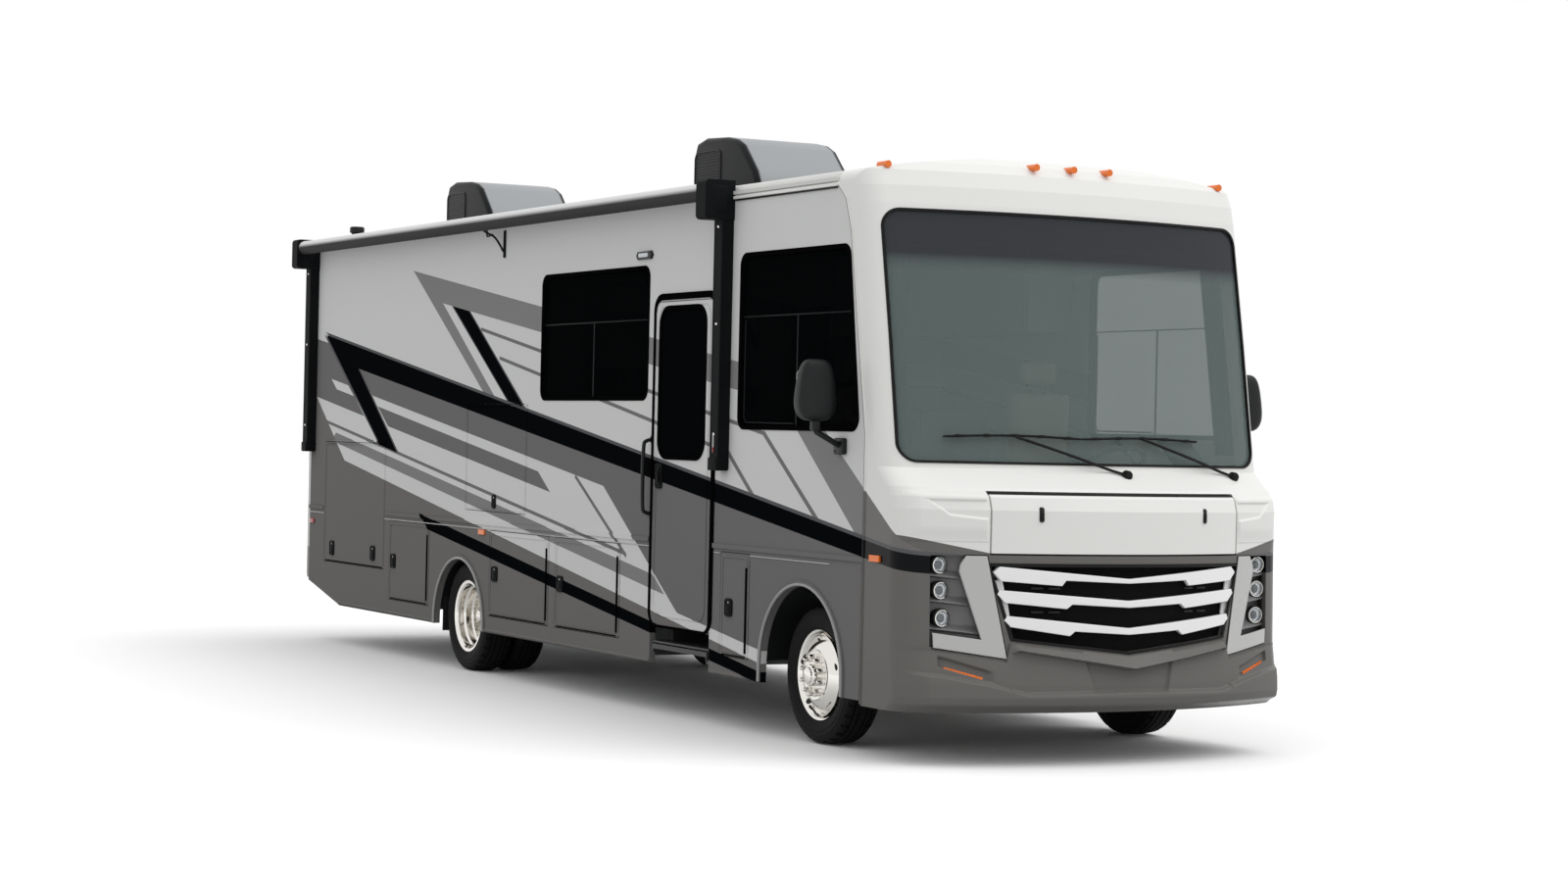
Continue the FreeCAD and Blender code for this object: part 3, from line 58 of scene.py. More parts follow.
# %% Camera
CAMERA_PLACE = Vector((18.561, -9.376, 1.782))
CAMERA_YAW = math.radians(151.919)
CAMERA_PITCH = math.radians(-0.1066)
CAMERA_ROLL = math.radians(1.3033)
CAMERA_LENS = 67.48

forward = Vector((
    math.cos(CAMERA_PITCH) * math.cos(CAMERA_YAW),
    math.cos(CAMERA_PITCH) * math.sin(CAMERA_YAW),
    math.sin(CAMERA_PITCH),
))
level_right = forward.cross(Vector((0, 0, 1))).normalized()
level_up = level_right.cross(forward)
right = math.cos(CAMERA_ROLL) * level_right + math.sin(CAMERA_ROLL) * level_up
up = -math.sin(CAMERA_ROLL) * level_right + math.cos(CAMERA_ROLL) * level_up

lens = bpy.data.cameras.new("camera")
lens.lens = CAMERA_LENS
lens.sensor_width = 36.0
lens.clip_end = 500.0
camera = bpy.data.objects.new("camera", lens)
bpy.context.scene.collection.objects.link(camera)
camera.matrix_world = Matrix((
    (right.x, up.x, -forward.x, CAMERA_PLACE.x),
    (right.y, up.y, -forward.y, CAMERA_PLACE.y),
    (right.z, up.z, -forward.z, CAMERA_PLACE.z),
    (0, 0, 0, 1),
))
bpy.context.scene.camera = camera
bpy.context.scene.view_settings.view_transform = "Standard"
print("camera at", tuple(round(v, 2) for v in camera.location))

# %% [markdown]
# Shader maths reads best as plain Python. A wire holds one output socket of a
# node, and adding, multiplying or comparing wires adds the Math node for it.
# A finish is a material with one principled shader and a way to add any node.


# %% Wires and finishes
def to_linear(value):
    """A channel as it is seen on a screen, turned into the light that makes it."""
    return value / 12.92 if value <= 0.04045 else ((value + 0.055) / 1.055) ** 2.4


def shade(red, green=None, blue=None):
    """A colour written as it is seen; one number is a grey."""
    green = red if green is None else green
    blue = red if blue is None else blue
    return (to_linear(red), to_linear(green), to_linear(blue), 1.0)


class Wire:
    """An output socket whose arithmetic adds Math nodes."""

    def __init__(self, socket):
        self.socket = socket

    def maths(self, operation, *values):
        tree = self.socket.id_data
        made = tree.nodes.new("ShaderNodeMath")
        made.operation = operation
        for entry, value in zip(made.inputs, values):
            if isinstance(value, Wire):
                tree.links.new(value.socket, entry)
            else:
                entry.default_value = value
        return Wire(made.outputs[0])

    def __add__(self, other):
        return self.maths("ADD", self, other)

    def __radd__(self, other):
        return self.maths("ADD", other, self)

    def __sub__(self, other):
        return self.maths("SUBTRACT", self, other)

    def __rsub__(self, other):
        return self.maths("SUBTRACT", other, self)

    def __mul__(self, other):
        return self.maths("MULTIPLY", self, other)

    def __rmul__(self, other):
        return self.maths("MULTIPLY", other, self)

    def __truediv__(self, other):
        return self.maths("DIVIDE", self, other)

    def __gt__(self, other):
        return self.maths("GREATER_THAN", self, other)

    def __lt__(self, other):
        return self.maths("LESS_THAN", self, other)

    def smaller(self, other):
        return self.maths("MINIMUM", self, other)

    def larger(self, other):
        return self.maths("MAXIMUM", self, other)

    def clamped(self):
        return self.larger(0.0).smaller(1.0)

    def size(self):
        return self.maths("ABSOLUTE", self)

    def sine(self):
        return self.maths("SINE", self)


class Finish:
    """A material: fixed values go on its shader, wires feed what varies."""

    def __init__(self, name, colour, rough, shine=0.5, **fixed):
        self.material = bpy.data.materials.new(name)
        self.material.use_nodes = True
        self.tree = self.material.node_tree
        self.shader = self.tree.nodes["Principled BSDF"]
        self.shader.inputs["Base Color"].default_value = colour
        self.shader.inputs["Roughness"].default_value = rough
        self.shader.inputs["Specular IOR Level"].default_value = shine
        for key, value in fixed.items():
            self.shader.inputs[key.replace("_", " ")].default_value = value

    def node(self, kind, settings=None, sockets=None, out=0):
        made = self.tree.nodes.new("ShaderNode" + kind)
        for key, value in (settings or {}).items():
            if key == "stops":
                ramp = made.color_ramp.elements
                while len(ramp) < len(value):
                    ramp.new(0.5)
                for stop, (place, colour) in zip(ramp, value):
                    stop.position, stop.color = place, colour
            else:
                setattr(made, key, value)
        for key, value in (sockets or {}).items():
            if isinstance(value, Wire):
                self.tree.links.new(value.socket, made.inputs[key])
            else:
                made.inputs[key].default_value = value
        return Wire(made.outputs[out])

    def feed(self, name, wire):
        self.tree.links.new(wire.socket, self.shader.inputs[name])

    def place(self):
        return self.node("TexCoord", out="Object")

    def axis(self, letter):
        """How far along X, Y or Z the point lies."""
        return self.node("SeparateXYZ", None, {0: self.place()}, out=letter)

    def noise(self, scale, detail=2.0):
        return self.node("TexNoise", None, {"Vector": self.place(), "Scale": scale,
            "Detail": detail})

    def mix(self, factor, first, second):
        return self.node("Mix", {"data_type": "RGBA"}, {0: factor, 6: first, 7: second}, out=2)

    def bump(self, height, depth, strength=0.5):
        self.feed("Normal", self.node("Bump", None, {
            "Height": height, "Distance": depth, "Strength": strength}))


print("shader helpers ready")

# %% [markdown]
# Each finish carries the small unevenness of the real surface: gelcoat has a
# slow waviness and a film of dust, moulded plastic a fine grain, rubber a dull
# mottling. One helper makes this family, and each call sets its scale.


# %% Finishes for plain surfaces
def toned(colour, factor):
    """A colour made darker or lighter, its alpha kept at one."""
    return tuple(min(1.0, channel * factor) for channel in colour[:3]) + (1.0,)


def surface(name, colour, rough, grain=40.0, depth=0.0004, spread=0.08, tint=0.06, **fixed):
    """A finish whose tone, gloss and height drift by a little."""
    made = Finish(name, colour, rough, **fixed)
    drift = made.noise(grain)
    slow = made.noise(1.7, 3.0)
    made.feed("Base Color", made.mix(
        drift * 0.4 + slow * 0.6, toned(colour, 1 - tint), toned(colour, 1 + tint)))
    made.feed("Roughness", rough - spread / 2 + drift * spread)
    made.bump(drift, depth)
    return made


finishes = {"white": surface("white_gelcoat", shade(0.9, 0.9, 0.89), 0.22, 3.0, 0.0008, 0.05, 0.015,
    shine=0.2), "roof": surface("roof_membrane", shade(0.83, 0.83, 0.82), 0.5, 6.0,
    0.0012, 0.06, 0.03, shine=0.1), "rear": surface("pale_gelcoat",
    shade(0.76, 0.77, 0.76), 0.32, 3.0, 0.0015, 0.05, 0.02), "inside": surface("inner_panel",
    shade(0.62, 0.6, 0.56), 0.6, 60.0), "sheet": surface("galvanised_sheet", shade(0.5, 0.51, 0.52),
    0.42, 25.0, 0.0003, 0.2, 0.12, Metallic=0.8), "chassis": surface("chassis_paint", shade(0.12),
    0.45, 90.0, 0.0005), "cast": surface("cast_iron", shade(0.16, 0.155, 0.15), 0.7, 160.0, 0.0012),
    "tyre": surface("tyre_rubber", shade(0.07, 0.07, 0.07), 0.72, 120.0, 0.0006,
    shine=0.15), "polished": surface("polished_alloy", shade(0.9, 0.89, 0.87), 0.1,
    50.0, 0.0001, 0.08, 0.03, Metallic=1.0), "glass_dark": surface("dark_glass",
    shade(0.03, 0.04, 0.045), 0.05, 1.3, 0.0003, 0.02, 0.1, shine=0.0),
    "black": surface("black_plastic", shade(0.1, 0.105, 0.11), 0.38, 300.0, 0.0003,
    shine=0.2), "arm_black": surface("awning_arm", shade(0.085, 0.09, 0.095), 0.6,
    300.0, 0.0003, shine=0.04), "rubber": surface("rubber_seal", shade(0.08), 0.55,
    80.0, 0.0003, shine=0.15), "frame_black": surface("window_rubber", shade(0.035),
    0.6, 80.0, 0.0003, shine=0.0), "glass_tint": surface("tinted_glass",
    shade(0.03, 0.04, 0.045), 0.05, 1.3, 0.0003, 0.02, 0.1, shine=0.0, Alpha=0.8),
    "lens_clear": surface("clear_lens", shade(0.8, 0.82, 0.84), 0.06, 200.0, 0.0004),
    "lens_red": surface("red_lens", shade(0.62, 0.05, 0.05), 0.12, 250.0, 0.0006),
    "lens_amber": surface("amber_lens", shade(0.93, 0.45, 0.08), 0.14, 250.0, 0.0006),
    "wood": surface("sealed_plywood", shade(0.55, 0.44, 0.32), 0.5, 14.0, 0.0005, 0.1, 0.2),
    "trim": surface("soft_trim", shade(0.42, 0.41, 0.39), 0.62, 400.0, 0.0004),
    "leather": surface("seat_leather", shade(0.62, 0.58, 0.52), 0.45, 220.0, 0.0008),
    "bright": surface("bright_bar", shade(0.86, 0.86, 0.86), 0.2, 10.0, 0.0003),
    "step": surface("step_plastic", shade(0.16), 0.5, 140.0, 0.0006),}
print("plain finishes", len(finishes))

# %% [markdown]
# The rear wall is pale gelcoat, and warm grey from the rear bumper's top down.

# %% Rear wall paint
REAR_SPLIT = 0.765
rear_paint = finishes["rear"]
rear_drift = rear_paint.noise(3.0)
rear_paint.feed("Base Color", rear_paint.mix(
    rear_paint.axis("Z") < REAR_SPLIT,
    rear_paint.mix(rear_drift, shade(0.75, 0.76, 0.75), shade(0.77, 0.78, 0.77)),
    rear_paint.mix(rear_drift, shade(0.41, 0.405, 0.395), shade(0.42, 0.415, 0.405))))
print("rear wall is grey below", REAR_SPLIT)

# %% [markdown]
# The awning is rolled up dark side down. The upper half of the roll is painted
# white: a painted highlight of the sky on its top, which also stands in for the
# white roof edge that the roll hides.

# %% Rolled canvas
WHITE_TOP_FOOT, WHITE_TOP_BLEND = 3.248, 0.026
canvas = Finish("rolled_canvas", shade(0.24), 0.7, shine=0.1)
# painted highlight: above this height the roll turns white
painted_top_share = ((canvas.axis("Z") - WHITE_TOP_FOOT) / WHITE_TOP_BLEND).clamped()
weave = canvas.noise(500.0)
canvas.feed("Base Color", canvas.mix(
    painted_top_share, canvas.mix(weave, shade(0.2), shade(0.23)),
    canvas.mix(weave, shade(0.84), shade(0.88))))
canvas.bump(weave, 0.0004)
finishes["canvas"] = canvas
print("painted white top above", WHITE_TOP_FOOT)

# %% [markdown]
# The windscreen is lightly tinted: the dashboard and the seats show through
# it behind a greenish veil, with a darker band along its top edge. Alpha lets
# the light through without the noise that refraction would bring. The
# driver's window is tinted less, so it shows as a pale field through it.

# %% Windscreen glass
TINT_FOOT, TINT_BLEND = 2.72, 0.1
windscreen_glass = Finish("windscreen_glass", shade(0.44, 0.49, 0.48), 0.04, Alpha=0.5,
    shine=0.15)
band = ((windscreen_glass.axis("Z") - TINT_FOOT) / TINT_BLEND).clamped()
windscreen_glass.feed("Base Color", windscreen_glass.mix(
    band, shade(0.49, 0.55, 0.54), shade(0.24, 0.25, 0.27)))
windscreen_glass.feed("Alpha", 0.36 + band * 0.4)
finishes["windscreen"] = windscreen_glass
side_tint = finishes["glass_tint"]
side_tint.feed("Alpha", 0.82 - (side_tint.axis("Y") > 0.0) * 0.3)
print("tint band starts at", TINT_FOOT)

# %% [markdown]
# The painted graphics run along both sides in long falling bands. Every band
# is a polygon in the side plane, and a polygon is the smallest of its edges'
# distances: where that is above nothing, the point lies inside. Because the
# pattern reads Object coordinates, it runs on over walls, skirts, doors and
# lids with no seam, and the same one lies on the driver's side.


# %% Side graphics
BAND_TOP = (1.8465, -0.1452)          # height at x = 0 and fall per metre
BAND_FOOT = (1.7085, -0.1365)
EDGE_TOP = (BAND_TOP[0] + 0.022, BAND_TOP[1])
UPPER_TOP = (2.606, -0.1385)
UPPER_FOOT = (2.4295, -0.1365)
PIN_HIGH = (2.2936, -0.1598)
PIN_LOW = (2.1275, -0.17)
FIELD_TOP = (1.54, -0.1359)
MID_TOP = (1.4642, -0.1382)
MID_FOOT = (1.356, -0.1339)
PIN_MID = (1.164, -0.1397)
GREY_TOP = (1.1094, -0.1395)
GREY_FOOT = (1.0181, -0.1417)
PALE_FOOT = (0.8881, -0.1461)
PALE_STEP = (0.9256, -0.1334)
LOW_TOP = (0.7983, -0.1332)
LOW_FOOT = (0.7153, -0.1288)
NOSE = 5.4


def on(line, x):
    return (x, line[0] + line[1] * x)


def strip(top, foot, start, end):
    """A band between two lines; start and end are the x of its corners, top then foot."""
    return [on(top, start[0]), on(top, end[0]), on(foot, end[1]), on(foot, start[1])]


def line_stripe(line, width, start, end):
    half = width / 2
    high = (line[0] + half, line[1])
    low = (line[0] - half, line[1])
    return strip(high, low, (start, start), (end, end))


def slanted(first, last, width):
    """A thin stripe from one point to another."""
    (ax, az), (bx, bz) = first, last
    length = math.hypot(bx - ax, bz - az)
    nx, nz = -(bz - az) / length * width / 2, (bx - ax) / length * width / 2
    return [(ax + nx, az + nz), (bx + nx, bz + nz), (bx - nx, bz - nz), (ax - nx, az - nz)]


PALE = shade(0.83, 0.835, 0.83)
MID = shade(0.53, 0.53, 0.53)
PIN = shade(0.47, 0.47, 0.47)
DARK = shade(0.455, 0.45, 0.45)
FIELD = shade(0.455, 0.45, 0.445)
INK = shade(0.045, 0.05, 0.06)
EDGE = shade(0.36, 0.36, 0.37)
PIN_WIDTH = 0.025

graphics = [
    # the upper grey band with its leg, the pale sliver and the black bar
    (MID, strip(UPPER_TOP, UPPER_FOOT, (-2.715, -2.35), (2.95, 2.95))),
    (MID, [(-2.715, 2.982), (-2.084, 2.714), (-1.002, 1.992), (-1.212, 2.022)]),
    (EDGE, [(-1.905, 2.69), (-1.535, 2.639), (-0.425, 1.91), (-0.765, 1.96)]),
    (INK, [(-1.875, 2.686), (-1.565, 2.643), (-0.462, 1.915), (-0.742, 1.957)]),
    # pinstripes
    (PIN, line_stripe(PIN_HIGH, PIN_WIDTH, -1.323, 3.15)),
    (PIN, slanted((3.13, 1.797), (3.83, 1.292), 0.033)),
    (PIN, line_stripe(PIN_LOW, PIN_WIDTH, -0.962, 2.69)),
    (PIN, slanted((2.68, 1.668), (3.03, 1.405), 0.033)),
    # dark grey under the black band, down to the door's foot
    (DARK, strip(BAND_FOOT, FIELD_TOP, (-3.9, -3.56), (0.87, 0.87))),
    (DARK, [(0.868, 1.6), (NOSE, 0.98), (NOSE, 0.2), (2.7, 0.2), (0.868, 1.4224)]),
    (DARK, [(-5.2, 2.537), (-4.593, 2.455), (-3.745, 1.86), (-5.2, 2.058)]),
    (PALE, [(-4.542, 2.163), (-4.135, 2.108), (-3.995, 2.021), (-4.411, 2.078)]),
    (DARK, strip(MID_TOP, MID_FOOT, (-3.44, -3.2), (-0.223, -0.007))),
    (PIN, line_stripe(PIN_MID, PIN_WIDTH, -4.66, 1.24)),
    (PIN, slanted((0.409, 1.479), (1.25, 0.975), 0.028)),
    (MID, strip(GREY_TOP, GREY_FOOT, (-4.4, -4.52), (1.66, 1.83))),
    # the dark field below, with the second black band across it
    (FIELD, [(-5.3, 2.07), (-4.935, 2.043), (-4.187, 1.5), (-4.187, 0.2), (-5.3, 0.2)]),
    (FIELD, [on(PALE_FOOT, -4.19), on(PALE_FOOT, 3.6), (3.6, 0.2), (-4.19, 0.2)]),
    (PALE, [on(GREY_FOOT, 1.6), (1.852, 0.751), on(PALE_STEP, 2.021), on(PALE_FOOT, 2.021),
            on(PALE_FOOT, 1.6)]),
    (PALE, strip(PALE_STEP, PALE_FOOT, (2.02, 2.02), (3.4, 3.4))),
    (INK, strip(LOW_TOP, LOW_FOOT, (-2.49, -2.295), (3.4, 3.4))),
    # the cab's falling grey stripe
    (MID, [(3.5, 1.852), (3.842, 1.846), (4.8, 1.187), (4.28, 1.225)]),
    # the black band and its leg
    (EDGE, strip(EDGE_TOP, BAND_FOOT, (-4.72, -3.9), (NOSE, NOSE))),
    (EDGE, [(-4.75, 2.535), (-3.86, 2.235), (-2.945, 1.575), (-3.395, 1.638)]),
    (INK, strip(BAND_TOP, BAND_FOOT, (-4.693, -3.901), (NOSE, NOSE))),
    (INK, [(-4.693, 2.528), (-3.901, 2.241), (-2.988, 1.581), (-3.362, 1.634)]),
]


def inside(made, place, outline):
    """One where the point lies inside a convex outline, nought outside."""
    turn = sum(a[0] * b[1] - b[0] * a[1] for a, b in zip(outline, outline[1:] + outline[:1]))
    if turn > 0:
        outline = outline[::-1]
    nearest = None
    for (ax, az), (bx, bz) in zip(outline, outline[1:] + outline[:1]):
        length = math.hypot(bx - ax, bz - az)
        if length < 1e-6:
            continue
        nx, nz = (bz - az) / length, -(bx - ax) / length
        reach = made.node("VectorMath", {"operation": "DOT_PRODUCT"}, {0: place, 1: (nx, 0, nz)},
            out="Value")
        depth = reach - (nx * ax + nz * az)
        nearest = depth if nearest is None else nearest.smaller(depth)
    return nearest > 0.0


def laid_on(made, colour, layers):
    """A colour with outlines painted over it, one after another."""
    place = made.place()
    for tone, outline in layers:
        colour = made.mix(inside(made, place, outline), colour, tone)
    return colour


side_paint = Finish("side_graphics", PALE, 0.3, shine=0.0)
side_drift = side_paint.noise(2.3, 3.0)
side_base = side_paint.mix(side_drift, toned(PALE, 0.985), PALE)
side_paint.feed("Base Color", laid_on(side_paint, side_base, graphics))
side_paint.feed("Roughness", 0.26 + side_paint.noise(30.0) * 0.08)
side_paint.bump(side_drift, 0.002, 0.3)
finishes["side"] = side_paint
print("side graphics", len(graphics), "shapes")

# %% [markdown]
# The moulded nose has its own paint: white above a line that drops towards
# the hood, and a warm grey below it. The black band and the falling grey
# stripe of the cab run on over its flank, so their outlines are laid on top.

# %% Nose paint
WHITE = shade(0.9, 0.9, 0.89)
WARM = shade(0.415, 0.41, 0.4)
NOSE_SPLIT, HOOD_HALF = 1.16, 0.8
nose_paint = Finish("nose_paint", WHITE, 0.24, shine=0.08)
drop = (nose_paint.axis("Y").size() - HOOD_HALF).larger(0.0) * 0.2
nose_base = nose_paint.mix(nose_paint.axis("Z") - drop < NOSE_SPLIT, WHITE, WARM)
nose_paint.feed("Base Color", laid_on(nose_paint, nose_base, (
    (WARM, [(3.5, 1.3), (4.72, 1.19), (4.9, 0.2), (3.5, 0.2)]),
    (FIELD, [(3.842, 1.846), (4.82, 1.173), (4.8, 1.15), (3.9, 1.15)]),
    (EDGE, strip(EDGE_TOP, BAND_FOOT, (3.5, 3.5), (4.93, 4.99))),
    (INK, strip(BAND_TOP, BAND_FOOT, (3.5, 3.5), (4.93, 4.99))),
)))
nose_paint.feed("Roughness", 0.2 + nose_paint.noise(25.0) * 0.08)
nose_paint.bump(nose_paint.noise(2.0), 0.0015, 0.3)
finishes["nose"] = nose_paint
print("nose paint splits at", NOSE_SPLIT)

# %% [markdown]
# Every CAD node gets its finish here. Walls, skirts, doors and lids are the ones
# that no list names, and they share the side's paint. A node that a finer piece
# replaces later is dressed too, so nothing is ever left plain.

# %% Dress the nodes
NODES_OF_LOOK = {
    "roof": "roof", "rear": "rear_wall", "wood": "floor", "nose": "front_cap", "white": "hood",
    "windscreen": "windscreen", "rubber": "windscreen_seal", "bright": "grille",
    "lens_clear": "headlamps", "glass_tint": "side_glass", "frame_black": "window_frames",
    "sheet": "storage_bays", "trim": "cab_trim", "leather": "cab_seats", "canvas": "awning_roll",
    "arm_black": "awning_arms", "lens_red": "tail_lamps", "lens_amber": "marker_lamps",
    "step": "step_well entry_step", "chassis": "chassis_frame drive_line",
    "cast": "engine_block front_axle rear_axle knuckle_left knuckle_right",
    "black": "fuel_tank wheel_wells steering_wheel air_conditioners mirrors wipers hand_rails",
    "glass_dark": "entry_door_glass slide_window",
}
look_of = {name: look for look, names in NODES_OF_LOOK.items() for name in names.split()}
for name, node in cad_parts.items():
    other = "tyre" if name.startswith("tyre") else "polished" if name.startswith("rim") else "side"
    node.data.materials.clear()
    node.data.materials.append(finishes[look_of.get(name, other)].material)
print("dressed", len(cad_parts), "nodes")

# %% [markdown]
# A pale floor and soft light: the floor is white to the camera and in mirrors,
# but throws back only the light of a grey yard, so that ledges turned to the
# sky stand out. An even sky lights the kerb side. One broad lamp high over the
# driver's side of the nose lights the front and the roof, and lays the soft
# shadow towards the kerb. The sky shows white to the camera, to mirrors and
# through glass.

# %% Floor and light
bpy.ops.mesh.primitive_plane_add(size=240, location=(0, 0, 0))
floor = bpy.context.object
floor.name = "studio_floor"
floor_finish = Finish("studio_floor", shade(0.97), 0.9, shine=0.1)
grains = floor_finish.noise(6.0)
seen_direct = floor_finish.node("LightPath", out="Is Camera Ray")
for other in ("Is Glossy Ray", "Is Transmission Ray"):
    seen_direct = seen_direct.larger(floor_finish.node("LightPath", out=other))
floor_finish.feed("Base Color", floor_finish.mix(
    seen_direct, floor_finish.mix(grains, shade(0.68), shade(0.71)), (1.0, 1.0, 1.0, 1.0)))
floor.data.materials.append(floor_finish.material)

SKY_STRENGTH = 0.93
sky = bpy.data.worlds.new("sky")
bpy.context.scene.world = sky
sky.use_nodes = True
sky_tree = sky.node_tree
sky_tree.nodes.clear()
rays = sky_tree.nodes.new("ShaderNodeLightPath")
seen = Wire(rays.outputs["Is Camera Ray"]).larger(Wire(rays.outputs["Is Glossy Ray"])).larger(
    Wire(rays.outputs["Is Transmission Ray"]))
backdrop = sky_tree.nodes.new("ShaderNodeBackground")
backdrop.inputs["Color"].default_value = (1, 1, 1, 1)
sky_tree.links.new((SKY_STRENGTH + seen * (1 - SKY_STRENGTH)).socket, backdrop.inputs["Strength"])
sky_out = sky_tree.nodes.new("ShaderNodeOutputWorld")
sky_tree.links.new(backdrop.outputs[0], sky_out.inputs["Surface"])

SUN_DIRECTION = Vector((0.44, 0.5, 1.0))
sun_light = bpy.data.lights.new("broad_lamp", "SUN")
sun_light.energy = 1.0
sun_light.angle = math.radians(50)
sun = bpy.data.objects.new("broad_lamp", sun_light)
sun.rotation_euler = SUN_DIRECTION.to_track_quat("Z", "Y").to_euler()
bpy.context.scene.collection.objects.link(sun)
print("sky", SKY_STRENGTH, "lamp", sun_light.energy)

# %% [markdown]
# The pieces are modelled as by hand: a primitive is set down at its size and
# place, then shaped in edit mode. A few steps come back all the time, so they
# are helpers: choose one piece, put its place into its mesh, turn its faces
# outwards, and hand it to the body that it rides on.

# %% Steps used by every piece
KERB, ROAD = -1, 1
RIGHT_LEFT = ((KERB, "right"), (ROAD, "left"))
BOTH_WALLS = ((KERB, "kerb"), (ROAD, "road"))
HALF_WIDTH = 1.2825
FRONT_AXLE = 3.65
REAR_AXLE = -1.633
AXLE_HEIGHT = 0.4
FRONT_TRACK, OUTER_TRACK, INNER_TRACK = 1.057, 1.11, 0.848


def clear_choice():
    if bpy.context.object and bpy.context.object.mode != "OBJECT":
        bpy.ops.object.mode_set(mode="OBJECT")
    bpy.ops.object.select_all(action="DESELECT")


def choose(piece):
    clear_choice()
    piece.select_set(True)
    bpy.context.view_layer.objects.active = piece


@contextmanager
def editing(piece):
    """Edit mode with all of one piece selected, and object mode again afterwards."""
    choose(piece)
    bpy.ops.object.mode_set(mode="EDIT")
    bpy.ops.mesh.select_all(action="SELECT")
    yield
    bpy.ops.object.mode_set(mode="OBJECT")


def outward(piece):
    """Doubles are merged and every face is turned to point outwards."""
    with editing(piece):
        bpy.ops.mesh.remove_doubles(threshold=0.00004)
        bpy.ops.mesh.normals_make_consistent(inside=False)
    return piece


def finish(piece, look, slot, angle=35.0, body="coach"):
    """The finish goes on, edges sharper than the angle stay sharp, and it rides."""
    piece.data.materials.clear()
    piece.data.materials.append(finishes[look].material)
    choose(piece)
    bpy.ops.object.shade_smooth_by_angle(angle=math.radians(angle))
    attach(piece, body)
    return piece


def joined(name, pieces):
    clear_choice()
    for piece in pieces:
        piece.select_set(True)
    bpy.context.view_layer.objects.active = pieces[0]
    if len(pieces) > 1:
        bpy.ops.object.join()
    pieces[0].name = name
    return pieces[0]


def copied(piece, name, matrix):
    """A copy with its own mesh, moved by a matrix; a mirrored one is turned outwards."""
    twin = piece.copy()
    twin.data = piece.data.copy()
    twin.name = name
    bpy.context.scene.collection.objects.link(twin)
    twin.data.transform(matrix)
    return outward(twin) if matrix.determinant() < 0 else twin


def placed(piece, place, degrees=0.0, axis="Z"):
    """Turns a piece about an axis through the origin, then moves it to its place."""
    piece.data.transform(Matrix.Translation(place) @ Matrix.Rotation(math.radians(degrees), 4,
        axis))
    return piece


def block(name, low, high, soft=0.003, steps=2):
    """A cube set down between two corners, with its edges bevelled."""
    clear_choice()
    bpy.ops.mesh.primitive_cube_add(size=1, location=[(a + b) / 2 for a, b in zip(low, high)])
    piece = bpy.context.object
    piece.name = name
    piece.scale = [b - a for a, b in zip(low, high)]
    choose(piece)
    bpy.ops.object.transform_apply(location=True, rotation=True, scale=True)
    with editing(piece):
        bpy.ops.mesh.bevel(offset=soft, segments=steps, affect="EDGES")
    return piece


def side_block(name, xs, ys, zs, side, soft=0.003, steps=2):
    """A block on one side of the coach; ys are measured from its middle."""
    low, high = sorted(side * y for y in ys)
    return block(name, (xs[0], low, zs[0]), (xs[1], high, zs[1]), soft, steps)


def turned(name, profile, steps=64, closed=False):
    """A profile of (radius, height) points, spun round an axis that runs along Y."""
    clear_choice()
    bpy.ops.mesh.primitive_circle_add(vertices=len(profile), fill_type="NOTHING")
    piece = bpy.context.object
    piece.name = name
    for corner, (radius, along) in zip(piece.data.vertices, profile):
        corner.co = (radius, along, 0)
    with editing(piece):
        if not closed:
            bpy.ops.mesh.select_mode(type="EDGE")
            bpy.ops.mesh.select_all(action="DESELECT")
            shape = bmesh.from_edit_mesh(piece.data)
            ends = {0, len(profile) - 1}
            for edge in shape.edges:
                edge.select = {corner.index for corner in edge.verts} == ends
            bmesh.update_edit_mesh(piece.data)
            bpy.ops.mesh.delete(type="EDGE")
            bpy.ops.mesh.select_mode(type="VERT")
            bpy.ops.mesh.select_all(action="SELECT")
        bpy.ops.mesh.spin(steps=steps, angle=2 * math.pi, center=(0, 0, 0), axis=(0, 1, 0))
    return outward(piece)


def from_curve(name, lines, kind="POLY", closed=False, **settings):
    """A mesh made from a curve through lists of points."""
    clear_choice()
    curve = bpy.data.curves.new(name, "CURVE")
    for key, value in settings.items():
        setattr(curve, key, value)
    for points in lines:
        line = curve.splines.new(kind)
        line.points.add(len(points) - 1)
        for point, place in zip(line.points, points):
            point.co = (*place, 1)
        line.use_cyclic_u = closed
        if kind == "NURBS":
            line.order_u = 3
            line.use_endpoint_u = True
    piece = bpy.data.objects.new(name, curve)
    bpy.context.scene.collection.objects.link(piece)
    choose(piece)
    bpy.ops.object.convert(target="MESH")
    return bpy.context.object


def flat(name, outlines, thick, soft=0.0015, rounds=1):
    """A plate in its own plane: the first outline bounds it, the others are holes."""
    return from_curve(name, [[(x, y, 0) for x, y in outline] for outline in outlines], closed=True,
        dimensions="2D", fill_mode="BOTH", extrude=thick / 2 - soft, bevel_depth=soft,
        bevel_resolution=rounds, offset=-soft)


def tube(name, points, radius, smooth=False):
    """A round bar along points; smooth lets it bend as one curve."""
    return outward(from_curve(name, [points], "NURBS" if smooth else "POLY", dimensions="3D",
        bevel_depth=radius, bevel_resolution=3, use_fill_caps=True, resolution_u=8))


def rounded(x0, x1, z0, z1, radius, steps=6):
    """The outline of a rectangle with round corners."""
    outline = []
    for cx, cz, start in ((x1 - radius, z0 + radius, 270), (x1 - radius, z1 - radius, 0),
            (x0 + radius, z1 - radius, 90), (x0 + radius, z0 + radius, 180)):
        for step in range(steps + 1):
            turn = math.radians(start + 90 * step / steps)
            outline.append((cx + radius * math.cos(turn), cz + radius * math.sin(turn)))
    return outline


def upright(piece, y, side=1):
    """Stands a flat plate up in the plane of that y, its upper face to the side."""
    piece.data.transform(Matrix(((1, 0, 0, 0), (0, 0, side, y), (0, 1, 0, 0), (0, 0, 0, 1))))
    return outward(piece)


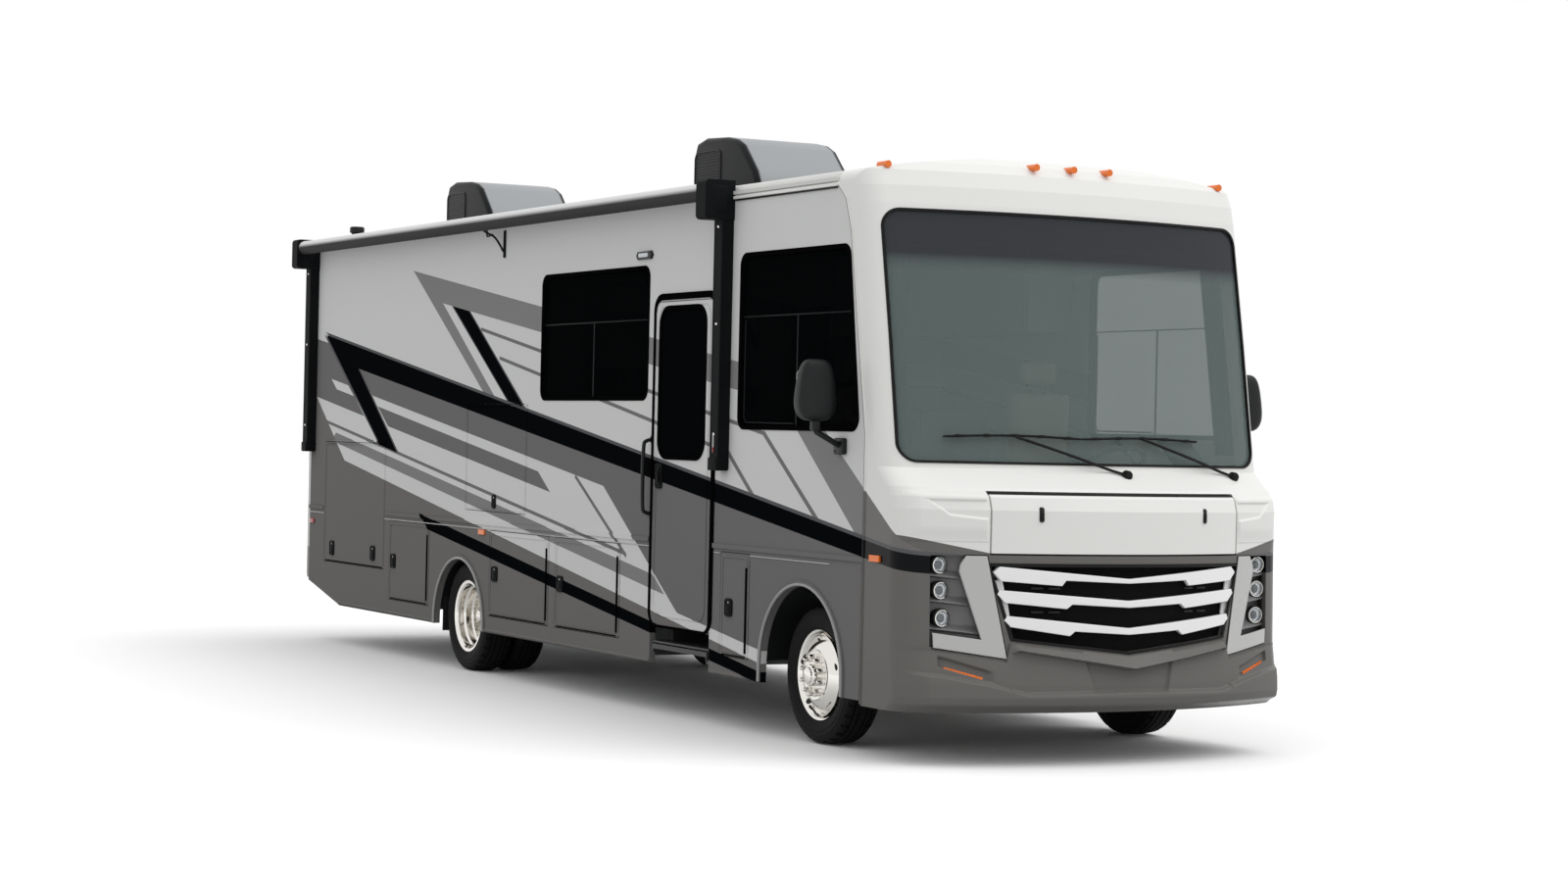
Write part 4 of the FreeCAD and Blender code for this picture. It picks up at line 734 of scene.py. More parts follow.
def on_side(piece, side, out):
    """Stands a flat plate up against a side wall, with its middle that far out."""
    return upright(piece, side * (HALF_WIDTH + out), side)


print("modelling steps ready")

# %% [markdown]
# The tyres carry straight grooves and cut shoulders. One profile is spun round
# the axle, then every third face round the two shoulders is pushed in for the
# cuts. It replaces the plain CAD tyre, at its own radius and width.

# %% Tyres
TYRE_STEPS = 96
RIM_HALF = 0.09
CUT_DEPTH = -0.006


def tyre_profile():
    """Half a tyre's section from bead to middle, then mirrored."""
    half = [(0.2485, RIM_HALF - 0.001), (0.263, RIM_HALF), (0.275, 0.098), (0.3, 0.1105),
            (0.318, 0.1125), (0.32, 0.114), (0.324, 0.114), (0.326, 0.1128),
            (0.345, 0.1125), (0.3465, 0.1135), (0.3495, 0.1135), (0.351, 0.1115),
            (0.368, 0.108), (0.384, 0.101), (0.391, 0.094), (0.3955, 0.084),
            (0.3975, 0.064), (0.3875, 0.0625), (0.3875, 0.0555), (0.3985, 0.054),
            (0.3995, 0.028), (0.3895, 0.0265), (0.3895, 0.0195), (0.3999, 0.018)]
    return half + [(radius, -along) for radius, along in reversed(half)]


def cut_shoulders(piece, steps):
    """Pushes in every third face of the two shoulder bands."""
    with editing(piece):
        bpy.ops.mesh.select_mode(type="FACE")
        bpy.ops.mesh.select_all(action="DESELECT")
        shape = bmesh.from_edit_mesh(piece.data)
        count = 0
        for face in shape.faces:
            middle = face.calc_center_median()
            radius = math.hypot(middle.x, middle.z)
            turn = int((math.atan2(middle.z, middle.x) / (2 * math.pi) + 0.5) * steps)
            if radius > 0.386 and 0.064 < abs(middle.y) < 0.1 and turn % 3 == 0:
                face.select = True
                count += 1
        bmesh.update_edit_mesh(piece.data)
        bpy.ops.mesh.extrude_region_shrink_fatten(TRANSFORM_OT_shrink_fatten={"value": CUT_DEPTH})
        bpy.ops.mesh.select_mode(type="VERT")
    return count


pattern_tyre = turned("tyre_pattern", tyre_profile(), TYRE_STEPS, closed=True)
cuts = cut_shoulders(pattern_tyre, TYRE_STEPS)
TYRES = {"tyre_front_right": ("wheel_front_right", [(FRONT_AXLE, -FRONT_TRACK)]),
    "tyre_front_left": ("wheel_front_left", [(FRONT_AXLE, FRONT_TRACK)]),
    "tyres_rear_right": ("wheels_rear_right", [(REAR_AXLE, -OUTER_TRACK),
    (REAR_AXLE, -INNER_TRACK)]), "tyres_rear_left": ("wheels_rear_left",
    [(REAR_AXLE, OUTER_TRACK), (REAR_AXLE, INNER_TRACK)]),}
for node, (body, places) in TYRES.items():
    piece = joined("dressed_" + node, [
        copied(pattern_tyre, node, Matrix.Translation((x, y, AXLE_HEIGHT))) for x, y in places])
    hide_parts(node)
    finish(piece, "tyre", "tyre", body=body)
bpy.data.objects.remove(pattern_tyre)
print("shoulder cuts", cuts, "tyres", sum(len(p) for _, p in TYRES.values()))

# %% [markdown]
# The front wheels wear a polished liner: a rolled lip, a ring of five hand
# holes, and a raised crown with ten tall nut covers round the hub. The liner
# is spun from one profile, its hand holes are dished ovals painted near black
# as painted shade of the wheel's inside, and the nut cover is spun once and
# copied round.

# %% Front wheels
# painted shade: the hand holes are near black, standing for the shaded inside of the wheel
finishes["hole"] = surface("hand_hole", shade(0.05), 0.6, 60.0)


def ring_of(pattern, count, offset, matrix_at):
    """Copies of a pattern at equal turns round the axle; the pattern itself goes."""
    made = [copied(pattern, "ring", matrix_at(2 * math.pi * (number + offset) / count))
            for number in range(count)]
    bpy.data.objects.remove(pattern)
    return made


def nut_cover():
    """A flanged cap with a rounded crown, its axis along Y and pointing to -Y."""
    return turned("nut_cover", [(0.0185, 0.0), (0.0185, -0.006), (0.0145, -0.009), (0.014, -0.03),
        (0.012, -0.036), (0.0095, -0.044), (0.005, -0.0475), (0.0, -0.048)], 12)


def hub_cap(base, reach):
    return turned("hub_cap", [(0.064, base), (0.064, base - reach * 0.55),
        (0.06, base - reach * 0.7), (0.046, base - reach * 0.78), (0.044, base - reach * 0.92),
        (0.03, base - reach * 0.97), (0.0, base - reach)], 32)


def hand_hole():
    """A dished oval, painted dark as the shade seen through the liner."""
    return turned("hand_hole", [(0.0215, -0.0005), (0.0195, -0.0022), (0.0175, 0.0012),
        (0.0, 0.0035)], 20)


def front_rim():
    """The rim's gutter and lip, facing -Y."""
    profile = [(0.2478, 0.088), (0.2615, 0.0895), (0.2622, 0.097), (0.236, 0.095), (0.222, 0.058),
        (0.222, -0.05), (0.236, -0.086), (0.2622, -0.0975), (0.263, -0.0935), (0.2615, -0.0895),
        (0.2478, -0.088)]
    return turned("rim_gutter", profile, 72, closed=True)


def liner():
    return turned("liner", [
        (0.2255, -0.062), (0.2275, -0.078), (0.233, -0.0905), (0.24, -0.0985), (0.244, -0.1),
        (0.24, -0.1025), (0.232, -0.0965), (0.223, -0.08), (0.218, -0.077), (0.208, -0.086),
        (0.19, -0.101), (0.17, -0.114), (0.155, -0.121), (0.15, -0.123), (0.149, -0.129),
        (0.144, -0.131), (0.141, -0.129), (0.14, -0.125), (0.125, -0.124), (0.06, -0.124),
    ], 80)


def wheel_parts(name, bright, disc, nut_ring, holes, hole_place, tilt=0.0):
    """Ten nut covers join the bright shapes; the hand holes, painted dark as shade, stay apart."""
    def nut_at(turn):
        return Matrix.Translation((nut_ring * math.cos(turn), 0, nut_ring * math.sin(turn)))

    def hole_at(turn):
        return Matrix.Rotation(-turn, 4, "Y") @ Matrix.Translation(hole_place)

    nuts = ring_of(placed(nut_cover(), (0, disc, 0)), 10, 0.5, nut_at)
    dark = ring_of(placed(hand_hole(), (0, 0, 0), tilt), holes, 0.25, hole_at)
    return joined(name, bright + nuts), joined(name + "_holes", dark)


for side, word in RIGHT_LEFT:
    piece, dark = wheel_parts("front_wheel_" + word, [front_rim(), liner(), hub_cap(-0.122, 0.06)],
        -0.124, 0.108, 5, (0.1985, -0.0955, 0), -40.0)
    for made, look in ((piece, "polished"), (dark, "hole")):
        placed(made, (FRONT_AXLE, side * FRONT_TRACK, AXLE_HEIGHT), 90 + 90 * side)
        finish(made, look, "polished", 30, body="wheel_front_" + word)
    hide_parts("rim_front_" + word)
print("front wheels dressed")

# %% [markdown]
# The rear wheels are pairs, so the outer one shows its deep dish: a rolled
# lip, a stepped barrel, and a disc far inside with hand holes, nuts and the
# axle's flange. The inner wheel is the same form, turned the other way.

# %% Rear wheels
def rear_dish():
    """A dished wheel facing -Y, its disc standing 131 mm behind the middle."""
    profile = [(0.2478, 0.088), (0.2615, 0.0895), (0.2622, 0.097), (0.238, 0.096), (0.23, 0.08),
        (0.226, 0.1235), (0.2, 0.13), (0.06, 0.13), (0.06, 0.118), (0.15, 0.118), (0.176, 0.114),
        (0.196, 0.1), (0.205, 0.08), (0.206, 0.03), (0.216, 0.018), (0.217, -0.025), (0.23, -0.04),
        (0.231, -0.08), (0.24, -0.093), (0.2622, -0.0975), (0.263, -0.0935), (0.2615, -0.0895),
        (0.2478, -0.088)]
    return turned("rear_dish", profile, 72, closed=True)


for side, word in RIGHT_LEFT:
    name = "rear_wheels_" + word
    # the rear hand holes are painted dark as shade too
    piece, dark = wheel_parts(name, [rear_dish(), hub_cap(0.118, 0.15)], 0.118, 0.112, 10,
        (0.171, 0.1142, 0))
    facing = 90 + 90 * side
    for made in (piece, dark):
        placed(made, (REAR_AXLE, side * OUTER_TRACK, AXLE_HEIGHT), facing)
    inner = placed(rear_dish(), (REAR_AXLE, side * INNER_TRACK, AXLE_HEIGHT), facing + 180)
    piece = joined(name, [piece, inner])
    for made, look in ((piece, "polished"), (dark, "hole")):
        finish(made, look, "polished", 30, body="wheels_rear_" + word)
    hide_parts("rims_rear_" + word)
print("rear wheels dressed")

# %% [markdown]
# Every wheel arch has a bright rolled trim. It is half a ring with straight
# legs, drawn as a tube along the arch's edge and pressed a little flat.

# %% Arch trims
# name, axle, radius, height of the arch's centre
ARCHES = (("front", FRONT_AXLE, 0.492, 0.425), ("rear", REAR_AXLE, 0.475, 0.345))
LEG_FOOT, TRIM_OUT = 0.322, 0.008
finishes["arch"] = surface("arch_trim", shade(0.55), 0.35, 60.0, 0.0002, 0.1, 0.05, Metallic=0.5)
for side, word in RIGHT_LEFT:
    for name, axle, radius, centre in ARCHES:
        reach = radius + TRIM_OUT
        turns = [math.pi - math.pi * step / 24 for step in range(25)]
        line = [(axle + reach * math.cos(turn), 0, centre + reach * math.sin(turn))
            for turn in turns]
        line = [(axle - reach, 0, LEG_FOOT)] + line + [(axle + reach, 0, LEG_FOOT)]
        trim = tube("arch_trim_" + name + "_" + word, line, 0.011)
        trim.data.transform(Matrix.Diagonal((1, 1.1, 1, 1)))
        finish(placed(trim, (0, side * (HALF_WIDTH + TRIM_OUT), 0)), "arch", "body_grey", 60)
print("arch trims", 2 * len(ARCHES))

# %% [markdown]
# The nose is bowed in plan and leans back in steps, so its own table of slices
# is kept here, and one function tells how far forward it stands at any width
# and height. A flat plate is cut into narrow strips, then each of its corners
# is laid on the nose: that is how every trim on the front follows it.

# %% The nose's surface
NOSE_ROWS = (
    # height, furthest forward, front radius, corner radius
    (0.29, 5.05, 2.9, 0.21), (0.335, 5.115, 2.75, 0.2), (0.38, 5.13, 2.7, 0.19),
    (0.45, 5.126, 2.7, 0.185), (0.62, 5.102, 2.65, 0.18), (1.16, 5.09, 2.65, 0.18),
    (1.4, 5.09, 2.65, 0.18), (1.47, 5.065, 2.7, 0.18), (1.52, 5.0, 2.9, 0.175),
    (1.625, 4.8, 3.7, 0.165), (2.36, 4.65, 4.2, 0.15), (3.1, 4.512, 4.2, 0.15),
    (3.2, 4.486, 4.2, 0.15), (3.29, 4.445, 4.2, 0.16), (3.345, 4.385, 4.2, 0.18),
)


def slice_front(row, y):
    _, forward_most, bow, corner = row
    y = min(abs(y), HALF_WIDTH - 0.0005)
    centre = forward_most - bow
    corner_x = centre + math.sqrt((bow - corner) ** 2 - (HALF_WIDTH - corner) ** 2)
    turn = math.atan2(HALF_WIDTH - corner, corner_x - centre)
    if y <= bow * math.sin(turn):
        return centre + math.sqrt(bow * bow - y * y)
    return corner_x + math.sqrt(max(0.0, corner ** 2 - (y - HALF_WIDTH + corner) ** 2))


def nose_at(y, z):
    """How far forward the nose stands at a width and a height."""
    z = min(max(z, NOSE_ROWS[0][0]), NOSE_ROWS[-1][0] - 1e-6)
    for low, high in zip(NOSE_ROWS, NOSE_ROWS[1:]):
        if z <= high[0]:
            part = (z - low[0]) / (high[0] - low[0])
            return slice_front(low, y) * (1 - part) + slice_front(high, y) * part


def cut_strips(piece, start, end, step):
    """Cuts a flat plate along its first axis, so that it can follow a bow."""
    with editing(piece):
        for number in range(1, int((end - start) / step)):
            bpy.ops.mesh.select_all(action="SELECT")
            bpy.ops.mesh.bisect(plane_co=(start + number * step, 0, 0), plane_no=(1, 0, 0))
    return piece


def draped(name, outlines, thick, out, soft=0.0015, step=0.045):
    """A plate laid on the nose with its middle that far proud of it."""
    piece = flat(name, outlines, thick, soft)
    across = [y for y, _ in outlines[0]]
    cut_strips(piece, min(across), max(across), step)
    for corner in piece.data.vertices:
        y, z, depth = corner.co
        corner.co = (nose_at(y, z) + out + depth, y, z)
    return outward(piece)


def flipped(outline):
    return [(-y, z) for y, z in outline]


def both_sides(name, outline, thick, out, look, slot, soft=0.0015):
    """The same trim left and right of the middle."""
    for word, turn in (("left", list), ("right", flipped)):
        finish(draped(name + "_" + word, [turn(outline)], thick, out, soft), look, slot, 15)


def lofted_sheet(name, rows, columns, place):
    """A grid whose points come from a function of two shares, across and up."""
    clear_choice()
    bpy.ops.mesh.primitive_grid_add(x_subdivisions=columns, y_subdivisions=rows, size=1)
    piece = bpy.context.object
    piece.name = name
    for corner in piece.data.vertices:
        corner.co = place(corner.co.x + 0.5, corner.co.y + 0.5)
    return piece


def along(points, value):
    """Straight-line reading of a short table."""
    for (a, first), (b, second) in zip(points, points[1:]):
        if value <= b:
            return first + (second - first) * (max(value, a) - a) / (b - a)
    return points[-1][1]


def ease(value):
    value = min(max(value, 0.0), 1.0)
    return value * value * (3 - 2 * value)


print("nose stands at", round(nose_at(0, 0.38), 3), "lowest and", round(nose_at(0, 1.3), 3),
    "at the hood")

# %% [markdown]
# The grille is three white bars over a black mesh. Each bar dips to the middle
# and is notched from below, and its ends come to a point. They stand on pale
# posts in a black frame.

# %% Grille
MESH_PITCH = 420.0
mesh_finish = Finish("black_mesh", shade(0.05), 0.55, shine=0.05)
rising, falling = (((mesh_finish.axis("Y") + sign * mesh_finish.axis("Z")) * MESH_PITCH).sine(
    ).size() for sign in (1, -1))
lattice = rising.smaller(falling)
mesh_finish.feed("Base Color", mesh_finish.mix((lattice - 0.35) * 3.0, shade(0.1), shade(0.02)))
mesh_finish.bump(lattice, 0.003, 0.8)
finishes["mesh"] = mesh_finish

BARS = (
    # ends: tip, upper corner, lower corner; middle: top, foot; notch: start, its height, top
    ((0.812, 1.06), (0.778, 1.094), (0.768, 1.014), 1.03, 1.004, (0.425, 0.99), (0.4, 1.02)),
    ((0.792, 0.942), (0.78, 0.966), (0.748, 0.896), 0.909, 0.87, (0.395, 0.864), (0.362, 0.889)),
    ((0.752, 0.8), (0.738, 0.826), (0.716, 0.764), 0.758, 0.721, (0.376, 0.716), (0.344, 0.741)),
)
bars = []
for tip, upper, lower, top, foot, notch, notch_top in BARS:
    half = [(0.0, top), upper, tip, lower, notch, notch_top]
    outline = half + [(0.0, foot)] + flipped(reversed(half[1:]))
    bars.append(draped("grille_bar", [outline], 0.03, -0.008, 0.004, 0.05))
bars = joined("grille_bars", bars)
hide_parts("grille")
finishes["bar_white"] = surface("white_bar", shade(0.93), 0.14, 9.0, 0.0003, 0.04, 0.02,
    Coat_Weight=0.5, Coat_Roughness=0.05)
finish(bars, "bar_white", "grille_bright", 15)
back = draped("grille_mesh", [[(-0.842, 1.112), (-0.715, 0.69), (0, 0.612), (0.715, 0.69),
    (0.842, 1.112)]], 0.004, -0.041, 0.0005)
finish(back, "mesh", "black_plastic")
GRILLE_EDGE = [(-0.826, 1.093), (-0.698, 0.702), (0, 0.628), (0.698, 0.702), (0.826, 1.093)]
GRILLE_OUT = [(-0.848, 1.112), (-0.715, 0.689), (0, 0.612), (0.715, 0.689), (0.848, 1.112)]
finish(draped("grille_frame", [GRILLE_OUT, GRILLE_EDGE], 0.012, 0.0, 0.003), "rubber",
    "black_plastic", 15)
for number, (low, high) in enumerate(((0.964, 1.018), (0.824, 0.898))):
    reach = 0.706 + (high - 0.83) * 0.25
    post = [(reach - 0.014, low), (reach + 0.04, low), (reach + 0.052, high), (reach - 0.002, high)]
    both_sides("grille_post_" + str(number), post, 0.014, -0.026, "bright", "grille_bright", 0.002)
clips = [draped("clip", [rounded(y - 0.035, y + 0.035, z - 0.006, z + 0.006, 0.005, 3)], 0.01,
    -0.034, 0.002) for z in (0.845, 0.975) for y in (-0.55, -0.45, 0.45, 0.55)]
finish(joined("grille_clips", clips), "black", "black_plastic")
print("grille bars", len(BARS))

# %% [markdown]
# Each lamp cluster is a deep tray with three shelves, three round lamps, and a
# pale bezel bent like an L round its inner and lower edges. A lamp is spun
# from profiles: its ring, its bowl and its glass.

# %% Headlamps
LAMPS = ((1.072, 1.096), (1.066, 0.957), (1.058, 0.806))
finishes["bezel"] = surface("bezel_paint", shade(0.72, 0.72, 0.715), 0.28, 4.0, 0.0008, 0.05, 0.02,
    Coat_Weight=0.2)
finishes["tray"] = surface("tray_paint", shade(0.4, 0.4, 0.4), 0.35, 30.0, 0.0004)
finishes["lamp_glass"] = Finish("lamp_glass", shade(0.85, 0.88, 0.9), 0.02, Alpha=0.22,
    shine=0.9)
finishes["lamp_glass"].bump(finishes["lamp_glass"].noise(70.0), 0.001, 0.3)
finishes["bowl"] = surface("lamp_bowl", shade(0.78, 0.79, 0.8), 0.12, 55.0, 0.003, 0.1, 0.1,
    Metallic=1.0)


def spun_forward(profile, place, steps=40):
    """A profile of (radius, depth forward) spun round an axis that runs along X."""
    return placed(turned("spun", profile, steps), place, -90)


def tray_place(side):
    """A tray that steps down from shelf to shelf."""
    def place(across, up):
        z = 0.632 + up * 0.536
        inner = 0.785 + (z - 0.65) * 0.24
        y = inner + across * (1.15 - inner)
        shelf = 0.0
        for _, lamp_z in LAMPS:
            foot = lamp_z - 0.066 - (1.08 - y) * 0.1
            shelf = max(shelf, ease((z - foot + 0.004) / 0.006) * ease((foot + 0.05 - z) / 0.048))
        return (nose_at(y, z) - 0.056 - 0.03 * across + shelf * (0.03 + 0.03 * across), side * y, z)
    return place


LAMP_PARTS = (
    # name, finish, sharpest smooth edge, and each shape's steps and profile
    ("rings", "polished", 30, [
        (40, [(0.046, -0.055), (0.0475, -0.004), (0.0455, 0.001), (0.042, 0.002), (0.04, -0.004),
              (0.0395, -0.02)])]),
    ("bowls", "bowl", 30, [
        (40, [(0.0395, -0.008), (0.036, -0.022), (0.03, -0.026), (0.029, -0.02), (0.026, -0.02),
              (0.025, -0.034), (0.0, -0.044)])]),
    ("glass", "lamp_glass", 60, [
        (40, [(0.0405, -0.004), (0.036, 0.003), (0.024, 0.0075), (0.01, 0.0095), (0.0, 0.01)])]),
    ("cups", "black", 40, [
        (24, [(0.0245, -0.034), (0.0235, -0.02), (0.018, -0.012), (0.009, -0.008), (0.0, -0.007)]),
        (40, [(0.05, -0.055), (0.052, -0.012), (0.05, -0.008), (0.0465, -0.008)])]),
)
for side, word in ((ROAD, "left"), (KERB, "right")):
    tray = lofted_sheet("lamp_tray_" + word, 150, 24, tray_place(side))
    if side == ROAD:
        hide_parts("headlamps")
    finish(outward(tray), "tray", "lens_clear", 50)
    for part, look, angle, shapes in LAMP_PARTS:
        made = [spun_forward(profile, (nose_at(y, z) - 0.03, side * y, z), steps)
                for y, z in LAMPS for steps, profile in shapes]
        finish(joined("lamp_" + part + "_" + word, made), look, "lens_clear", angle)
BEZEL = [(0.956, 1.15), (0.846, 1.15), (0.737, 0.59), (1.118, 0.646), (1.122, 0.728),
    (0.872, 0.694), (0.99, 1.062), (0.985, 1.1)]
both_sides("lamp_bezel", BEZEL, 0.014, 0.001, "bezel", "lens_clear", 0.004)
# painted shadow: a black outline peeps out round the bezel, the gap there drawn black as its shade
BEZEL_SHADOW_GAP = [(0.962, 1.156), (0.84, 1.156), (0.73, 0.584), (1.124, 0.641), (1.128, 0.722),
    (1.1, 0.7), (0.86, 0.665), (0.97, 1.1)]
both_sides("bezel_shadow_gap", BEZEL_SHADOW_GAP, 0.004, 0.001, "rubber", "rubber", 0.0008)
print("lamps", 2 * len(LAMPS))

# %% [markdown]
# The bumper's relief is a sheet laid on the nose and lifted off it by a
# function: an upper lip under the grille that faces the sky, two cheeks with a
# sunken field for a plate between them, a wedge for each amber strip, and the
# lower bulge with its crisp upper edge.

# %% Bumper relief
BULGE_EDGE = ((0.0, 0.412), (0.3, 0.408), (0.65, 0.402), (0.86, 0.454), (1.1, 0.497), (1.27, 0.512))
LIP_EDGE = ((0.0, 0.54), (0.69, 0.642), (0.75, 0.6), (1.3, 0.56))
SHEET_TOP = ((0.0, 0.606), (0.705, 0.682), (0.722, 0.672), (0.742, 0.574), (1.12, 0.632),
    (1.27, 0.645))


def bumper_lift(y, z):
    y = abs(y)
    bulge = along(BULGE_EDGE, y)
    top = along(SHEET_TOP, y)
    lip = along(LIP_EDGE, y)
    cheek = 0.02 * ease((y - 0.232 - (z - 0.41) * 0.26) / 0.018)
    fade = ease((1.262 - y) / 0.1)
    if y < 0.74:
        inner = ease((0.735 - y) / 0.05)
        rise = 0.06 * min(1.0, (top - z) / max(top - lip, 0.001)) if z > lip else 0.06
        rise *= ease((z - lip + 0.02) / 0.02) * inner
        cheek = max(rise, cheek) if z > lip - 0.02 else cheek
    wedge = 0.0
    if 0.8 < y < 1.115:
        slope = 0.478 + (y - 0.84) * 0.3
        wedge = (ease((z - slope + 0.016) / 0.01) * ease((slope + 0.052 - z) / 0.02)
            * ease((y - 0.812) / 0.05) * ease((1.108 - y) / 0.012))
    lift = cheek * fade * (1 - wedge) - 0.004 * wedge
    low = ease((bulge - z + 0.012) / 0.024)
    bump = 0.056 * ease((z - 0.296) / 0.05) * fade
    return lift * (1 - low) + bump * low + 0.002 - 0.008 * ease((y - 1.235) / 0.03)


def bumper_place(across, up):
    y = (across - 0.5) * 2 * 1.262
    z = 0.292 + up * (along(SHEET_TOP, abs(y)) - 0.292)
    edge = min(up, 1 - up) * 60
    return (nose_at(y, z) + (bumper_lift(y, z) if edge > 0.5 else -0.006), y, z)


bumper = lofted_sheet("bumper_relief", 110, 420, bumper_place)
finish(bumper, "nose", "body_pale", 40)
AMBER = [(1.074, 0.5455), (1.068, 0.5235), (0.88, 0.472), (0.872, 0.49)]
strips = [draped("amber", [outline], 0.012, 0.003, 0.003) for outline in (AMBER,
    flipped(AMBER)[::-1])]
finish(joined("amber_strips", strips), "lens_amber", "lens_amber")
ribs = []
for turn in (1, -1):
    for number in range(12):
        y = 0.888 + number * 0.0155
        z = 0.4835 + (y - 0.88) * 0.277
        rib = rounded(turn * y - 0.0022, turn * y + 0.0022, z - 0.008, z + 0.008, 0.002, 2)
        ribs.append(draped("rib", [rib], 0.003, 0.0105, 0.0006))
finish(joined("amber_ribs", ribs), "lens_amber", "lens_amber")
SCREW = [(0.0, 0.006), (0.004, 0.0055), (0.0065, 0.003), (0.007, 0.0)]
screws = [spun_forward(SCREW, (nose_at(y, 0.553) + 0.002, y, 0.553), 20) for y in (-0.085, 0.085)]
finish(joined("plate_screws", screws), "polished", "sheet_metal")
print("bumper sheet", len(bumper.data.polygons), "faces")

# %% [markdown]
# The hood wears two black latches and a dark seal along its shut line. Beside
# it the cowl steps in over the fenders: a soft scoop is lifted off the nose
# on each side.

# %% Hood and cowl
for word, y in (("left", 0.548), ("right", -0.548)):
    for part, half, z0, z1, radius, thick, out, look in (
        ("", 0.0135, 1.338, 1.422, 0.012, 0.008, 0.003, "black"),
        ("grip_", 0.0085, 1.35, 1.392, 0.007, 0.006, 0.008, "rubber"),
    ):
        plate = draped("hood_latch_" + part + word, [rounded(y - half, y + half, z0, z1, radius)],
            thick, out, 0.002)
        finish(plate, look, "black_plastic", body="hood")


def scoop_lift(y, z):
    """Raised below the scoop's slanting edge, flush above it."""
    y = abs(y)
    edge = along(((0.84, 1.352), (0.866, 1.353), (1.045, 1.372), (1.141, 1.448), (1.2, 1.47)), y)
    low = ease((edge - z + 0.008) / 0.014) * ease((z - 1.222) / 0.09)
    shelf = ease((z - 1.446) / 0.012)
    shelf *= ease((1.5 - z) / 0.02)
    ends = ease((y - 0.835) / 0.02) * ease((1.262 - y) / 0.08)
    return 0.011 * max(low, shelf) * ends


def scoop_place(side):
    """A sheet on one fender, its rim tucked under the nose's surface."""
    def place(across, up):
        y = 0.834 + across * 0.428
        z = 1.222 + up * 0.28
        edge = min(across, 1 - across, up, 1 - up)
        lift = 0.0015 + scoop_lift(y, z) if edge > 0.004 else -0.006
        return (nose_at(y, z) + lift, side * y, z)
    return place


for side, word in ((ROAD, "left"), (KERB, "right")):
    scoop = lofted_sheet("cowl_scoop_" + word, 70, 100, scoop_place(side))
    finish(outward(scoop), "nose", "body_white", 60)
seal = draped("hood_seal", [rounded(-0.828, 0.828, 1.4885, 1.497, 0.003, 2)], 0.004, -0.004, 0.0008)
finish(seal, "rubber", "rubber", body="hood")
print("hood latches 2, scoops 2")

# %% [markdown]
# Along the sides everything is small hardware on flat panels: paddle latches,
# black hinge strips, pressed beads, and a black strip at each lid's foot: the
# shut line there, with painted shade under the lid's edge. A plate is drawn in
# the side plane and stood up against the wall, and the same call serves both
# sides, so each lid carries its own hardware when it swings.

# %% Side hardware
def side_plate(name, outlines, thick, out, side, look, slot, soft=0.002, body="coach"):
    """One flat plate against a side wall, with its middle that far out."""
    return finish(on_side(flat(name, outlines, thick, soft), side, out), look, slot, 15, body=body)


def grown(outline_of, grow):
    """A rounded rectangle, (x0, x1, z0, z1, radius), made larger on every side."""
    x0, x1, z0, z1, radius = outline_of
    return rounded(x0 - grow, x1 + grow, z0 - grow, z1 + grow, max(radius + grow, 0.002))


def latch(name, x, z, width, height, side, body):
    """A paddle latch: a black plate, a sunken cup and the paddle in it."""
    around = (x - width / 2, x + width / 2, z - height / 2, z + height / 2, 0.022)
    plate = flat("plate", [grown(around, 0), grown(around, -0.016)], 0.012, 0.004)
    cup = flat("cup", [grown(around, -0.012)], 0.008, 0.001)
    grip = rounded(x - width * 0.27, x + width * 0.27, z - height * 0.34, z + height * 0.14, 0.01)
    paddle = flat("paddle", [grip], 0.009, 0.003)
    shapes = [on_side(piece, side, out) for piece, out in ((plate, 0.006), (cup, 0.005),
        (paddle, 0.009))]
    lock = turned("lock", [(0.0, 0.0045), (0.005, 0.004), (0.0075, 0.002), (0.008, 0.0)], 16)
    placed(lock, (x, side * (HALF_WIDTH + 0.005), z + height * 0.28), 90 - 90 * side, "X")
    finish(joined("latch_" + name, shapes), "arm_black", "black_plastic", body=body)
    finish(lock, "polished", "black_plastic", body=body)
    lock.name = "latch_lock_" + name


for name, x, z, width, height, side, body in (
    ("rear", -3.01, 0.74, 0.105, 0.11, KERB, "bay_door_rear"),
    ("middle", -0.955, 0.745, 0.105, 0.11, KERB, "bay_door_middle"),
    ("front", 0.205, 0.738, 0.105, 0.11, KERB, "bay_door_front"),
    ("cab", 2.735, 0.735, 0.095, 0.11, KERB, "bay_door_cab"),
    ("garage_a", -4.43, 0.778, 0.1, 0.12, KERB, "garage_door_right"),
    ("garage_b", -3.47, 0.778, 0.1, 0.12, KERB, "garage_door_right"),
    ("hatch", -0.998, 1.262, 0.065, 0.1, KERB, "screen_hatch"),
    ("road_rear", -0.955, 0.745, 0.105, 0.11, ROAD, "bay_door_left_rear"),
    ("road_front", 0.205, 0.738, 0.105, 0.11, ROAD, "bay_door_left_front"),
    ("road_garage_a", -4.43, 0.778, 0.1, 0.12, ROAD, "garage_door_left"),
    ("road_garage_b", -3.47, 0.778, 0.1, 0.12, ROAD, "garage_door_left"),
):
    latch(name, x, z, width, height, side, body)

